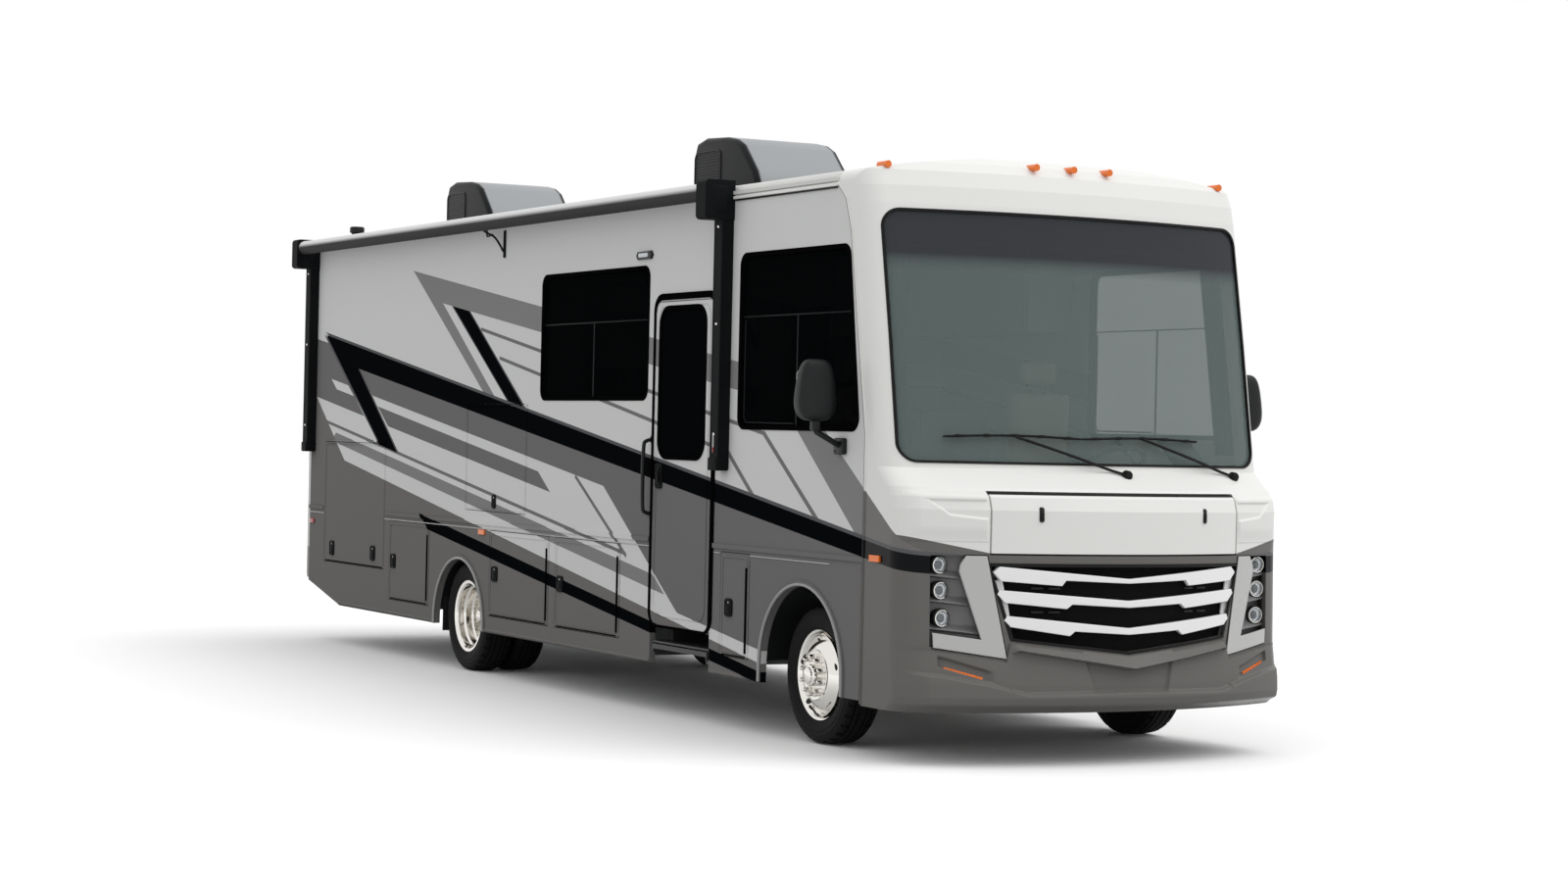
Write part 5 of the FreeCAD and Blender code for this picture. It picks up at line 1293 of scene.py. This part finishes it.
LIDS = (
    ("rear", "bay_door_rear", -3.105, -2.265, 0.44, 1.05, KERB),
    ("middle", "bay_door_middle", -1.065, -0.008, 0.44, 1.05, KERB),
    ("front", "bay_door_front", 0.11, 1.153, 0.44, 1.05, KERB),
    ("cab", "bay_door_cab", 2.615, 2.985, 0.44, 1.065, KERB),
    ("road_rear", "bay_door_left_rear", -1.065, -0.008, 0.44, 1.05, ROAD),
    ("road_front", "bay_door_left_front", 0.11, 1.153, 0.44, 1.05, ROAD),
)
for name, body, x0, x1, z0, z1, side in LIDS:
    around = (x0 + 0.02, x1 - 0.02, z0 + 0.02, z1 - 0.02, 0.03)
    side_plate("lid_bead_" + name, [grown(around, 0), grown(around, -0.01)], 0.005, 0.0015, side,
        "side", "body_grey", 0.002, body=body)
    strip_x = x1 - 0.028
    hinge = rounded(strip_x - 0.009, strip_x + 0.009, z0 + 0.03, z1 - 0.08, 0.005, 3)
    side_plate("lid_strip_" + name, [hinge], 0.008, 0.004, side, "frame_black", "black_plastic",
        body=body)
    # painted shade: a black strip along the lid's foot, its shut line darkened as the shade under
    # its edge
    foot_shade = rounded(x0 + 0.03, x1 - 0.03, z0 + 0.003, z0 + 0.012, 0.004, 3)
    side_plate("lid_foot_shade_" + name, [foot_shade], 0.004, 0.001, side, "frame_black", "black_plastic", 0.001,
        body=body)
for name, body, x0, x1, z0, z1, side in (
    ("kerb", "garage_door_right", -4.634, -3.23, 0.665, 1.64, KERB),
    ("road", "garage_door_left", -4.634, -3.23, 0.665, 1.64, ROAD),
    ("hatch", "screen_hatch", -1.55, -0.43, 1.19, 1.95, KERB),
):
    around = (x0 + 0.012, x1 - 0.012, z0 + 0.012, z1 - 0.012, 0.018)
    side_plate("panel_bead_" + name, [grown(around, 0), grown(around, -0.006)], 0.004, 0.001, side,
        "side", "body_grey", 0.0015, body=body)
for side, word in BOTH_WALLS:
    side_plate("garage_rail_" + word, [rounded(-4.645, -3.225, 1.65, 1.666, 0.005, 3)], 0.01, 0.003,
        side, "side", "body_pale")
    # painted shade: the same black strip along the garage door's foot
    side_plate("garage_foot_shade_" + word, [rounded(-4.6, -3.262, 0.668, 0.68, 0.004, 3)], 0.004, 0.001,
        side, "frame_black", "black_plastic", 0.001, body="garage_door_right" if side < 0
        else "garage_door_left")
print("latches 11, lids", len(LIDS))

# %% [markdown]
# Above the lids a thin pressed edge runs along both sides, painted a paler grey
# than the bands round it as a painted highlight, and a red marker lamp sits at
# its rear end.

# %% Belt edge and rear markers
BELT_HEIGHT = 1.0585
# painted highlight: the pressed edge is painted paler than the paint round it
finishes["belt"] = surface("belt_highlight_edge", shade(0.66, 0.66, 0.655), 0.3, 40.0, 0.0003)
slide_low, slide_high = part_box("slide_room")
for side, word in BOTH_WALLS:
    spans = ([(-3.215, 1.6), (2.515, 2.6), (3.0, 3.975)] if side < 0
        else [(-3.215, slide_low[0] - 0.03), (slide_high[0] + 0.03, 3.975)])
    edges = [tube("edge", [(x, side * (HALF_WIDTH + 0.001), BELT_HEIGHT) for x in span], 0.004)
        for span in [(-5.04, -4.65)] + spans]
    finish(joined("belt_highlight_edge_" + word, edges), "belt", "body_pale", 60)
    marker = side_block("rear_marker_" + word, (-4.985, -4.875),
        (HALF_WIDTH - 0.001, HALF_WIDTH + 0.014), (0.967, 1.003), side, 0.007, 3)
    finish(marker, "lens_red", "lens_red")
print("belt edges 2, rear markers 2")

# %% [markdown]
# The entry door sits in a black frame, most of it at the top and along the
# hinge. The leaf has a pressed bead round its glass, and a pull latch.

# %% Entry door
BEAD = (1.668, 2.404, 0.62, 2.59, 0.085)
PANE = (1.7, 2.345, 1.625, 2.575, 0.11)
HINGE_X, PULL_X = 2.46, 1.742
side_plate("door_frame", [grown((1.612, 2.506, 0.548, 2.664, 0.11), 0),
    grown((1.628, 2.472, 0.562, 2.622, 0.085), 0)], 0.018, 0.004, KERB, "frame_black",
    "black_plastic", 0.005)
barrel = tube("door_hinge", [(HINGE_X, -HALF_WIDTH, 0.62), (HINGE_X, -HALF_WIDTH, 2.56)], 0.0075)
finish(barrel, "frame_black", "black_plastic", 60, body="entry_door")
side_plate("door_bead", [grown(BEAD, 0), grown(BEAD, -0.008)], 0.006, 0.002, KERB, "side",
    "body_pale", 0.0025, body="entry_door")
side_plate("door_glass_ring", [grown(PANE, 0.012), grown((1.715, 2.33, 1.64, 2.56, 0.095), -0.004)],
    0.012, 0.003, KERB, "frame_black", "rubber", 0.004, body="entry_door")
side_plate("door_pane", [grown(PANE, 0)], 0.006, -0.004, KERB, "glass_dark", "glass_dark",
    body="entry_door")
latch("door", 1.722, 1.508, 0.095, 0.16, KERB, "entry_door")
BEND = ((0.01, 1.56), (0.024, 1.548), (0.026, 1.51), (0.022, 1.47), (0.008, 1.458))
pull = tube("door_pull", [(PULL_X, -HALF_WIDTH - out, z) for out, z in BEND], 0.008, smooth=True)
finish(pull, "rubber", "black_plastic", 60, body="entry_door")

# porch lamp over the door
side_plate("porch_lamp_base", [[(1.332, 2.92), (1.352, 2.945), (1.546, 2.947), (1.568, 2.922),
    (1.548, 2.895), (1.35, 2.894)]], 0.022, 0.008, KERB, "black", "black_plastic", 0.006)
side_plate("porch_lamp_lens", [rounded(1.382, 1.52, 2.907, 2.934, 0.012)], 0.01, 0.02, KERB,
    "lens_clear", "lens_clear", 0.003)
print("entry door dressed")

# %% [markdown]
# Window bars divide the dark panes: one high bar, and an upright below it.
# Thin beads outline the cab's sliding panes.

# %% Windows
finishes["pane_line"] = surface("pane_line", shade(0.1, 0.105, 0.11), 0.5, 90.0,
    shine=0.05)


def pane_bars(name, x0, x1, foot, bar_z, bar_x, y, side, body):
    """A high bar across a window and an upright under it, on the glass."""
    for part, xs, zs in (("across", (x0, x1), (bar_z - 0.004, bar_z + 0.004)),
            ("upright", (bar_x - 0.007, bar_x + 0.007), (foot, bar_z))):
        bar = side_block(name + "_" + part, xs, (y - 0.002, y + 0.0035), zs, side, 0.0012)
        finish(bar, "pane_line", "black_plastic", body=body)


pane_bars("house_window", -0.185, 1.5, 2.01, 2.507, 0.645, 1.268, KERB, "coach")
pane_bars("cab_window", 2.815, 4.17, 1.838, 2.49, 3.51, 1.268, KERB, "coach")
pane_bars("cab_window_road", 2.815, 4.17, 1.838, 2.49, 3.51, 1.268, ROAD, "coach")
pane_bars("slide_window", -1.85, -0.2, 2.015, 2.45, -1.02, 1.296, ROAD, "slide_room")
PANE_EDGE = ((2.85, 2.47), (2.85, 1.885), (2.88, 1.856), (3.48, 1.852))
for side, word in BOTH_WALLS:
    line = [(x, side * 1.27, z) for x, z in PANE_EDGE]
    finish(tube("sliding_pane_" + word, line, 0.005), "pane_line", "black_plastic", 60)

# a rounded trim round the slide room's face
low, high = slide_low, slide_high
lip = (low[0] + 0.004, high[0] - 0.004, low[2] + 0.052, high[2] - 0.004, 0.03)
ring = flat("slide_trim", [grown(lip, 0.006), grown(lip, -0.03)], 0.016, 0.005)
finish(upright(ring, high[1] + 0.004), "bezel", "body_pale", body="slide_room")
print("window bars 8, slide trim at", round(high[1], 3))

# %% [markdown]
# Long lines tie the coach together: the bead over the joint between cap and
# walls, the drip rail, the soft roll along the skirt's foot. Two ribbed
# mudflaps hang behind the rear wheels.

# %% Long beads and flaps
SEAM = ((4.362, 0.3), (4.362, 1.8), (4.154, 2.95), (4.086, 3.13), (3.98, 3.225))
for side, word in BOTH_WALLS:
    bead = [(x, side * (HALF_WIDTH + 0.0015), z) for x, z in SEAM]
    finish(tube("seam_bead_" + word, bead, 0.0065), "nose", "body_pale", 60)
    shadow = [(x - 0.0105, side * (HALF_WIDTH + 0.0005), z) for x, z in SEAM]
    finish(tube("seam_shade_" + word, shadow, 0.0045), "rubber", "rubber", 60)
    start = 2.7 if side < 0 else -4.95        # the awning covers the kerb side
    side_plate("drip_rail_" + word, [rounded(start, 3.99, 3.204, 3.224, 0.006, 3)], 0.022, 0.008,
        side, "white", "body_white", 0.005)
    side_plate("drip_shade_" + word, [rounded(start, 3.975, 3.194, 3.203, 0.004, 3)], 0.012, 0.004,
        side, "rubber", "rubber", 0.002)
    door = [1.625, 2.485] if side < 0 else []   # the kerb side's skirt stops for the door
    ends = [-1.135] + door + [3.12]
    rolls = [[(-4.99, 0.496), (-4.263, 0.338), (-2.135, 0.333)]]
    for first, last in zip(ends[::2], ends[1::2]):
        rolls.append([(first, 0.332 if first < 0 else 0.33), (last, 0.33)])
    rolls = [tube("roll", [(x, side * (HALF_WIDTH - 0.004), z) for x, z in line], 0.013)
        for line in rolls]
    finish(joined("skirt_roll_" + word, rolls), "side", "body_grey", 60)
    flap = [side_block("flap", (-2.098, -2.088), (0.735, 1.225), (0.262, 0.6), side)]
    for number in range(9):
        y = min(side * 0.735, side * 1.225) + 0.045 + number * 0.05
        flap.append(block("rib", (-2.102, y - 0.004, 0.28), (-2.084, y + 0.004, 0.585), 0.002))
    finish(joined("mudflap_" + word, flap), "rubber", "rubber")
print("beads, rails and flaps on both sides")

# %% [markdown]
# The air conditioners are soft-edged shells: pale over the top and the long
# front slope, black on the flanks, with a louvred panel on each flank.

# %% Air conditioners
shell_paint = Finish("shell_paint", shade(0.66), 0.42, shine=0.15)
FLANK_Y = 0.322
flank = ((shell_paint.axis("Y").size() - FLANK_Y) * 60.0).clamped()
shell_paint.feed("Base Color", shell_paint.mix(flank, shade(0.6, 0.61, 0.62),
    shade(0.055, 0.06, 0.07)))
shell_paint.feed("Roughness", 0.38 + shell_paint.noise(200.0) * 0.12)
shell_paint.bump(shell_paint.noise(320.0), 0.0006)
finishes["shell"] = shell_paint


def shell(x):
    outline = [(x + reach, z) for reach, z in (
        (-0.48, 3.385), (0.48, 3.385), (0.48, 3.47), (0.44, 3.545), (0.25, 3.73), (0.15, 3.775),
        (0.0, 3.802), (-0.3, 3.818), (-0.43, 3.79), (-0.478, 3.69))]
    return upright(flat("shell", [outline], 0.74, 0.035, 4), 0.0)


shells, slats = [], []
for x in (-3.915, 0.725):
    shells.append(shell(x))
    for side in (KERB, ROAD):
        around = (x - 0.435, x - 0.055, 3.425, 3.715, 0.045)
        ring = flat("ring", [grown(around, 0.01), grown(around, 0.0)], 0.012, 0.004)
        slats.append(upright(ring, side * 0.371))
        for number in range(14):
            z = 3.438 + number * 0.0205
            slats.append(side_block("slat", (x - 0.428, x - 0.062), (0.368, 0.375), (z, z + 0.008),
                side, 0.002, 1))
    for number in range(11):
        z = 3.43 + number * 0.024
        slats.append(block("slat", (x - 0.488, -0.3, z), (x - 0.478, 0.3, z + 0.009), 0.002, 1))
shells = joined("roof_units", shells)
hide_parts("air_conditioners")
finish(shells, "shell", "black_plastic", 50)
finish(joined("roof_unit_louvres", slats), "black", "black_plastic")
vents = []
for x, y in ((-2.35, 0.0), (-0.9, 0.05), (2.25, 0.0)):
    for half, z0, z1, soft, steps in ((0.21, 3.385, 3.475, 0.035, 4),
            (0.235, 3.38, 3.418, 0.006, 2)):
        vents.append(block("vent", (x - half, y - half, z0), (x + half, y + half, z1), soft, steps))
finish(joined("roof_vents", vents), "white", "body_white", 60)
stack = turned("roof_stack", [(0.0, 0.11), (0.052, 0.108), (0.06, 0.098), (0.06, 0.06),
    (0.046, 0.055), (0.044, 0.03), (0.07, 0.01), (0.075, -0.03)], 32)
finish(placed(stack, (-4.57, -1.08, 3.318), 90, "X"), "black", "black_plastic", 40)
print("roof units 2, slats", len(slats))

# %% [markdown]
# The mirrors are tall soft shells that lean in towards the top. A ball is
# squared off and shaped by height; its glass looks back. A post and an elbow
# carry it from the cab's side.

# %% Mirrors
MIRROR_Y = 1.481
for side, word in RIGHT_LEFT:
    clear_choice()
    bpy.ops.mesh.primitive_uv_sphere_add(segments=56, ring_count=40, radius=1, location=(0, 0, 0))
    head = bpy.context.object
    for corner in head.data.vertices:
        x, y, z = (math.copysign(abs(value) ** 0.52, value) * 0.5 for value in corner.co)
        narrow = 1.0 - 0.22 * ease((z + 0.25) / 0.8) - 0.05 * ease((-z - 0.3) * 5)
        corner.co = (4.122 + x * 0.128 * (1 - 0.25 * ease(z + 0.3)),
            side * (MIRROR_Y + y * 0.242 * narrow), 2.042 + z * 0.346)
    glass = upright(flat("mirror_glass_" + word, [rounded(-0.088, 0.088, -0.135, 0.125, 0.03)],
        0.004), 0.0)
    placed(glass, (4.0605, side * MIRROR_Y, 2.03), 90)
    arm = tube("arm", [(x, side * y, z) for x, y, z in (
        (4.13, 1.482, 1.885), (4.13, 1.482, 1.825), (4.128, 1.47, 1.806), (4.105, 1.33, 1.742),
        (4.1, 1.3, 1.73))], 0.017)
    collar = side_block("collar", (4.106, 4.154), (1.458, 1.506), (1.812, 1.872), side, 0.01, 3)
    foot = side_block("foot", (4.04, 4.15), (1.2835, 1.316), (1.682, 1.776), side, 0.012, 3)
    bolts = [placed(turned("bolt", [(0.0, 0.004), (0.006, 0.003), (0.007, 0.0)], 12),
        (4.062, side * 1.316, z), 90 - 90 * side, "X") for z in (1.7, 1.758)]
    head = joined("mirror_" + word, [outward(head), arm, collar, foot] + bolts)
    if side < 0:
        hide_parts("mirrors")
    finish(head, "black", "black_plastic", 45)
    finish(glass, "polished", "polished")
print("mirrors 2")

# %% [markdown]
# A wiper is a domed pivot cap, a flat arm that rises to the blade's middle,
# and a blade that follows the windscreen: its spine, its claws and its rubber.

# %% Wipers
PIVOT_HEIGHT, BLADE_HEIGHT = 1.6, 1.8
BLADE_START, BLADE_END = -1.09, -0.265       # across, from the pivot
ARM_RISE = 0.205
for number, pivot in enumerate((0.13, 0.97)):
    middle = pivot + (BLADE_START + BLADE_END) / 2
    dome = [(0.0, 0.04), (0.02, 0.038), (0.027, 0.028), (0.03, 0.0), (0.026, -0.01)]
    cap = turned("cap", dome, 24)
    placed(cap, (nose_at(pivot, PIVOT_HEIGHT) + 0.004, pivot, PIVOT_HEIGHT), -90)
    arm_line = []
    for step in range(9):
        y, z = pivot + (middle - pivot) * step / 8, PIVOT_HEIGHT + ARM_RISE * step / 8
        arm_line.append((nose_at(y, z) + 0.024 + 0.012 * math.sin(math.pi * step / 8), y, z))
    arm = tube("arm", arm_line, 0.0085)
    blade_line = [(pivot + BLADE_START + (BLADE_END - BLADE_START) * step / 10,
        BLADE_HEIGHT + 0.012 * math.sin(math.pi * step / 10)) for step in range(11)]
    spine = tube("spine", [(nose_at(y, z) + 0.022, y, z) for y, z in blade_line], 0.0055)
    rubber = tube("rubber", [(nose_at(y, z) + 0.009, y, z - 0.003) for y, z in blade_line], 0.0055)
    claws = []
    for y, z in blade_line[1:-1:2]:
        x = nose_at(y, z)
        claws.append(block("claw", (x + 0.006, y - 0.018, z - 0.01),
            (x + 0.026, y + 0.018, z + 0.008), 0.003))
    piece = joined("wiper_" + str(number), [cap, arm, spine, rubber] + claws)
    if number == 0:
        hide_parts("wipers")
    finish(piece, "rubber", "black_plastic", 45)
print("wipers 2")

# %% [markdown]
# The awning's arms get their channels, bolts and hubs, and half way along the
# roll a cradle holds it off the wall.

# %% Awning fittings
ARM_FACE, ROLL_Y, ROLL_HEIGHT = -1.361, -1.42, 3.25
fittings, bolts = [], []
for x in (-4.955, 2.63):
    for offset in (-0.04, 0.04):
        fittings.append(block("channel", (x + offset - 0.006, -1.3615, 1.64),
            (x + offset + 0.006, -1.359, 3.07), 0.001))
    fittings.append(block("foot", (x - 0.06, -1.372, 1.56), (x + 0.06, -1.284, 1.64), 0.01, 3))
    cheek = block("cheek", (x - 0.07, -1.478, 3.09), (x + 0.07, -1.3, 3.31), 0.042, 5)
    for corner in cheek.data.vertices:
        corner.co.y += 0.055 * ease((3.2 - corner.co.z) / 0.11) * ease((-1.36 - corner.co.y) / 0.1)
    fittings.append(cheek)
    bolts += [placed(turned("bolt", [(0.0, 0.005), (0.007, 0.004), (0.009, 0.0)], 12),
        (x, ARM_FACE, z), 180, "X") for z in (1.622, 1.78, 2.45, 3.04)]
    inward = 1 if x < 0 else -1
    ring = [(0.06, -0.01), (0.064, 0.0), (0.06, 0.012), (0.052, 0.016), (0.05, 0.03)]
    hub = turned("hub", ring, 32)
    fittings.append(placed(hub, (x + 0.066 * inward, ROLL_Y, ROLL_HEIGHT), -90 * inward))
fittings.append(block("cradle_bar", (-0.908, -1.297, 3.005), (-0.884, -1.283, 3.2), 0.003))
STRUT = [(-1.105, -1.372, 3.208), (-1.03, -1.366, 3.18), (-0.95, -1.33, 3.15),
    (-0.905, -1.296, 3.05)]
HOOK = [(-1.08, -1.35, 3.215), (-1.065, -1.36, 3.17), (-1.04, -1.362, 3.155), (-1.0, -1.34, 3.175)]
for radius, points in ((0.008, STRUT), (0.006, HOOK)):
    fittings.append(tube("cradle", points, radius, smooth=True))
fitting_count = len(fittings)
finish(joined("awning_fittings", fittings), "arm_black", "black_plastic", 45)
finish(joined("awning_bolts", bolts), "polished", "polished", 45)
for name, z0, z1, look, slot in (("arm_mark", 1.67, 1.7, "lens_red", "lens_red"),
        ("arm_mark_pale", 1.701, 1.79, "bezel", "sheet_metal")):
    finish(block(name, (2.622, -1.3655, z0), (2.634, -1.36, z1), 0.001), look, slot)
print("awning fittings", fitting_count)

# %% [markdown]
# The grab handle beside the door is one bent tube on two flanges, and the
# ladder's rails bend into the rear wall. Ribbed treads sit on its rungs.

# %% Grab handle and ladder
GRIP_X, GRIP_Y = 1.603, -HALF_WIDTH - 0.062
BACK, RAIL_X, RAIL_TUBE, RUNG_TUBE = -5.05, -5.117, 0.0125, 0.0115
grip = [(-HALF_WIDTH - 0.002, 1.262), (GRIP_Y + 0.014, 1.27), (GRIP_Y, 1.3), (GRIP_Y, 1.7),
        (GRIP_Y + 0.014, 1.73), (-HALF_WIDTH - 0.002, 1.738)]
rails = [tube("grip", [(GRIP_X, y, z) for y, z in grip], RAIL_TUBE, smooth=True)]
for z in (1.262, 1.738):
    flange = turned("flange", [(0.0, 0.01), (0.02, 0.009), (0.026, 0.004), (0.028, 0.0)], 24)
    rails.append(placed(flange, (GRIP_X, -HALF_WIDTH, z), 180, "X"))
for y in (0.55, 0.95):
    bend = [(-5.052, 1.0), (-5.1, 1.004), (RAIL_X, 1.04), (RAIL_X, 3.25), (-5.1, 3.292),
        (-5.052, 3.296)]
    rails.append(tube("ladder_rail", [(x, y, z) for x, z in bend], RAIL_TUBE, smooth=True))
    rails.append(tube("stay", [(RAIL_X, y, 2.1), (BACK, y, 2.1)], RUNG_TUBE))
for step in range(8):
    z = 1.06 + step * 0.3
    rails.append(tube("rung", [(RAIL_X, 0.55, z), (RAIL_X, 0.95, z)], RUNG_TUBE))
    rails.append(block("tread", (-5.1295, 0.575, z - 0.009), (-5.1045, 0.925, z + 0.0135), 0.004))
for piece in rails:
    outward(piece)
hand_rails = joined("hand_rail_tubes", rails)
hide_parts("hand_rails")
finish(hand_rails, "black", "black_plastic", 45)
print("grab handle and ladder", len(hand_rails.data.polygons), "faces")

# %% [markdown]
# Two padded seats stand behind the windscreen. Their pads are swollen by a short
# cloth simulation under pressure, and each point may move only so far.

# %% Cab seats
PAD_VOXEL, PAD_MOVE = 0.012, 0.024


def swollen(piece):
    """Inflates a pad: remeshed, run as cloth under pressure, capped, subdivided."""
    choose(piece)
    remesh = piece.modifiers.new("remesh", "REMESH")
    remesh.mode = "VOXEL"
    remesh.voxel_size = PAD_VOXEL
    bpy.ops.object.modifier_apply(modifier="remesh")
    before = [corner.co.copy() for corner in piece.data.vertices]
    cloth = piece.modifiers.new("cloth", "CLOTH")
    cloth.settings.use_pressure = True
    cloth.settings.uniform_pressure_force = 4
    cloth.settings.effector_weights.gravity = 0
    for number in range(1, 21):
        bpy.context.scene.frame_set(number)
    bpy.ops.object.modifier_apply(modifier="cloth")
    for corner, start in zip(piece.data.vertices, before):
        moved = corner.co - start
        if moved.length > PAD_MOVE:
            corner.co = start + moved * (PAD_MOVE / moved.length)
    bpy.context.scene.frame_set(1)
    smoother = piece.modifiers.new("smoother", "SUBSURF")
    smoother.levels = 1
    bpy.ops.object.modifier_apply(modifier="smoother")
    return piece


for side, word in RIGHT_LEFT:
    y = side * 0.64
    for part, low, high in (
        ("cushion", (3.175, y - 0.245, 1.405), (3.655, y + 0.245, 1.515)),
        ("back", (3.085, y - 0.235, 1.5), (3.185, y + 0.235, 2.1)),
        ("headrest", (3.095, y - 0.128, 2.135), (3.165, y + 0.128, 2.275)),
    ):
        pad = swollen(block("seat_" + part + "_" + word, low, high, 0.032, 4))
        if (part, side) == ("cushion", KERB):
            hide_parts("cab_seats")
        finish(pad, "leather", "leather", 70)
    base = [block("pedestal", (3.23, y - 0.17, 1.117), (3.57, y + 0.17, 1.33), 0.02),
            block("pan", (3.165, y - 0.235, 1.325), (3.65, y + 0.235, 1.398), 0.02)]
    base += [tube("post", [(3.13, y + offset, 2.05), (3.13, y + offset, 2.16)], 0.007)
        for offset in (-0.06, 0.06)]
    finish(joined("seat_base_" + word, base), "black", "trim_grey")
print("seat pads 6")

# %% [markdown]
# Five vents line the dashboard. Behind the seats a galley and cupboards close
# the view, and a curtain hangs gathered by each windscreen pillar.

# %% Cab fittings
vents = []
for y in (-0.95, -0.55, -0.15, 0.3, 0.95):
    vents.append(block("vent", (4.44, y - 0.1, 1.505), (4.5, y + 0.1, 1.53), 0.004))
    for number in range(6):
        start = y - 0.088 + number * 0.032
        vents.append(block("slat", (4.436, start, 1.512), (4.502, start + 0.008, 1.536), 0.002, 1))
vents.append(block("binnacle", (4.21, 0.4, 1.48), (4.33, 0.88, 1.58), 0.03, 4))
finish(joined("dash_vents", vents), "black", "black_plastic")
galley = [block("cupboard", low, high, 0.008) for low, high in (
    ((1.06, 0.7, 1.116), (1.62, 1.236, 1.98)), ((0.15, -1.236, 1.116), (1.54, -0.78, 1.93)),
    ((1.06, 0.9, 2.48), (2.6, 1.236, 3.1)), ((-0.2, -1.236, 2.9), (1.56, -0.9, 3.12)))]
for x0, x1, y, z0, z1 in ((1.09, 1.33, 0.697, 1.16, 1.92), (1.35, 1.59, 0.697, 1.16, 1.92),
        (1.09, 1.82, 0.897, 2.51, 3.07), (1.84, 2.57, 0.897, 2.51, 3.07)):
    galley.append(block("front", (x0, y - 0.012, z0), (x1, y + 0.006, z1), 0.004))
finish(joined("galley", galley), "inside", "trim_grey")
doors = [block("door", (3.812, -1.15 + number * 0.58, 2.935), (3.834, -0.6 + number * 0.58, 3.14),
    0.006) for number in range(4)]
finish(joined("cupboard_doors", doors), "trim", "trim_grey")

CURTAIN_WAVES, CURTAIN_LENGTH, CURTAIN_STEPS = 7, 1.23, 140


def curtain_place(side):
    """A gathered sheet by one pillar; its folds are a little flatter at the top."""
    def place(across, up):
        y = side * (1.195 - 0.15 * across)
        z = 1.72 + up * CURTAIN_LENGTH
        sway = 0.02 * math.sin(2 * math.pi * CURTAIN_WAVES * across)
        return (min(nose_at(y, z), 4.9) - 0.175 + sway * (1.1 - 0.25 * up), y, z)
    return place


for side, word in RIGHT_LEFT:
    place = curtain_place(side)
    curtain = lofted_sheet("pillar_curtain_" + word, 20, CURTAIN_STEPS, place)
    folds = [Vector(place(number / CURTAIN_STEPS, 0.5)) for number in range(CURTAIN_STEPS + 1)]
    width = sum((after - before).length for before, after in zip(folds, folds[1:]))
    finish(curtain, "rubber", "fabric", 70)
print("curtain width", round(width, 3))

# %% [markdown]
# The rear wall, which the picture doesn't show, stays simple: a lower bumper,
# split tail lamps in dark surrounds, corner mouldings, a camera and five
# clearance lamps.

# %% Rear wall
finishes["warm"] = surface("warm_grey", shade(0.415, 0.41, 0.4), 0.32, 4.0, 0.0008, 0.05, 0.02,
    shine=0.2)
bumper_parts = [
    block("rear_bumper", (BACK - 0.055, -1.225, 0.515), (BACK + 0.002, 1.225, 0.7), 0.018, 4),
    block("rear_skirt", (BACK - 0.01, -1.262, 0.7), (BACK + 0.002, 1.262, 0.96), 0.004)]
finish(joined("rear_bumper", bumper_parts), "warm", "body_grey")
LENSES = (("lens_red", 1.202, 1.38), ("lens_clear", 1.122, 1.196), ("lens_amber", 1.0, 1.116))
parts = {"lens_red": [], "lens_clear": [], "lens_amber": [], "rubber": []}
for side in (KERB, ROAD):
    y0, y1 = sorted((side * 1.118, side * 1.232))
    parts["rubber"].append(block("surround", (BACK - 0.012, y0 - 0.012, 0.988),
        (BACK + 0.001, y1 + 0.012, 1.392), 0.005))
    for look, z0, z1 in LENSES:
        parts[look].append(block("lens", (BACK - 0.024, y0, z0), (BACK - 0.01, y1, z1), 0.006, 3))
        for number in range(6):
            y = y0 + 0.012 + number * 0.018
            parts[look].append(block("rib", (BACK - 0.0265, y - 0.003, z0 + 0.008),
                (BACK - 0.022, y + 0.003, z1 - 0.008), 0.001, 1))
for y, z in ((-1.1, 3.17), (-0.22, 3.3), (0.0, 3.3), (0.22, 3.3), (1.1, 3.17)):
    parts["lens_red"].append(block("clearance", (BACK - 0.016, y - 0.05, z - 0.013),
        (BACK + 0.001, y + 0.05, z + 0.013), 0.006, 3))
for look, made in parts.items():
    piece = joined("rear_" + look, made)
    if look == "lens_red":
        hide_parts("tail_lamps")
    finish(piece, look, look)
trims = [tube("corner", [(BACK - 0.002, side * 1.276, z) for z in (0.53, 3.2)], 0.009)
    for side in (KERB, ROAD)]
trims += [block("seam", (BACK - 0.004, -1.26, z), (BACK + 0.001, 1.26, z + 0.012), 0.002)
    for z in (1.64, 3.06)]
finish(joined("rear_trims", trims), "bezel", "body_pale")
plates = [block("camera", (BACK - 0.05, -0.05, 3.085), (BACK + 0.001, 0.05, 3.15), 0.012, 3),
    block("camera_lens", (BACK - 0.06, -0.018, 3.098), (BACK - 0.045, 0.018, 3.13), 0.006)]
finish(joined("rear_fittings", plates), "black", "black_plastic")
print("rear wall dressed")
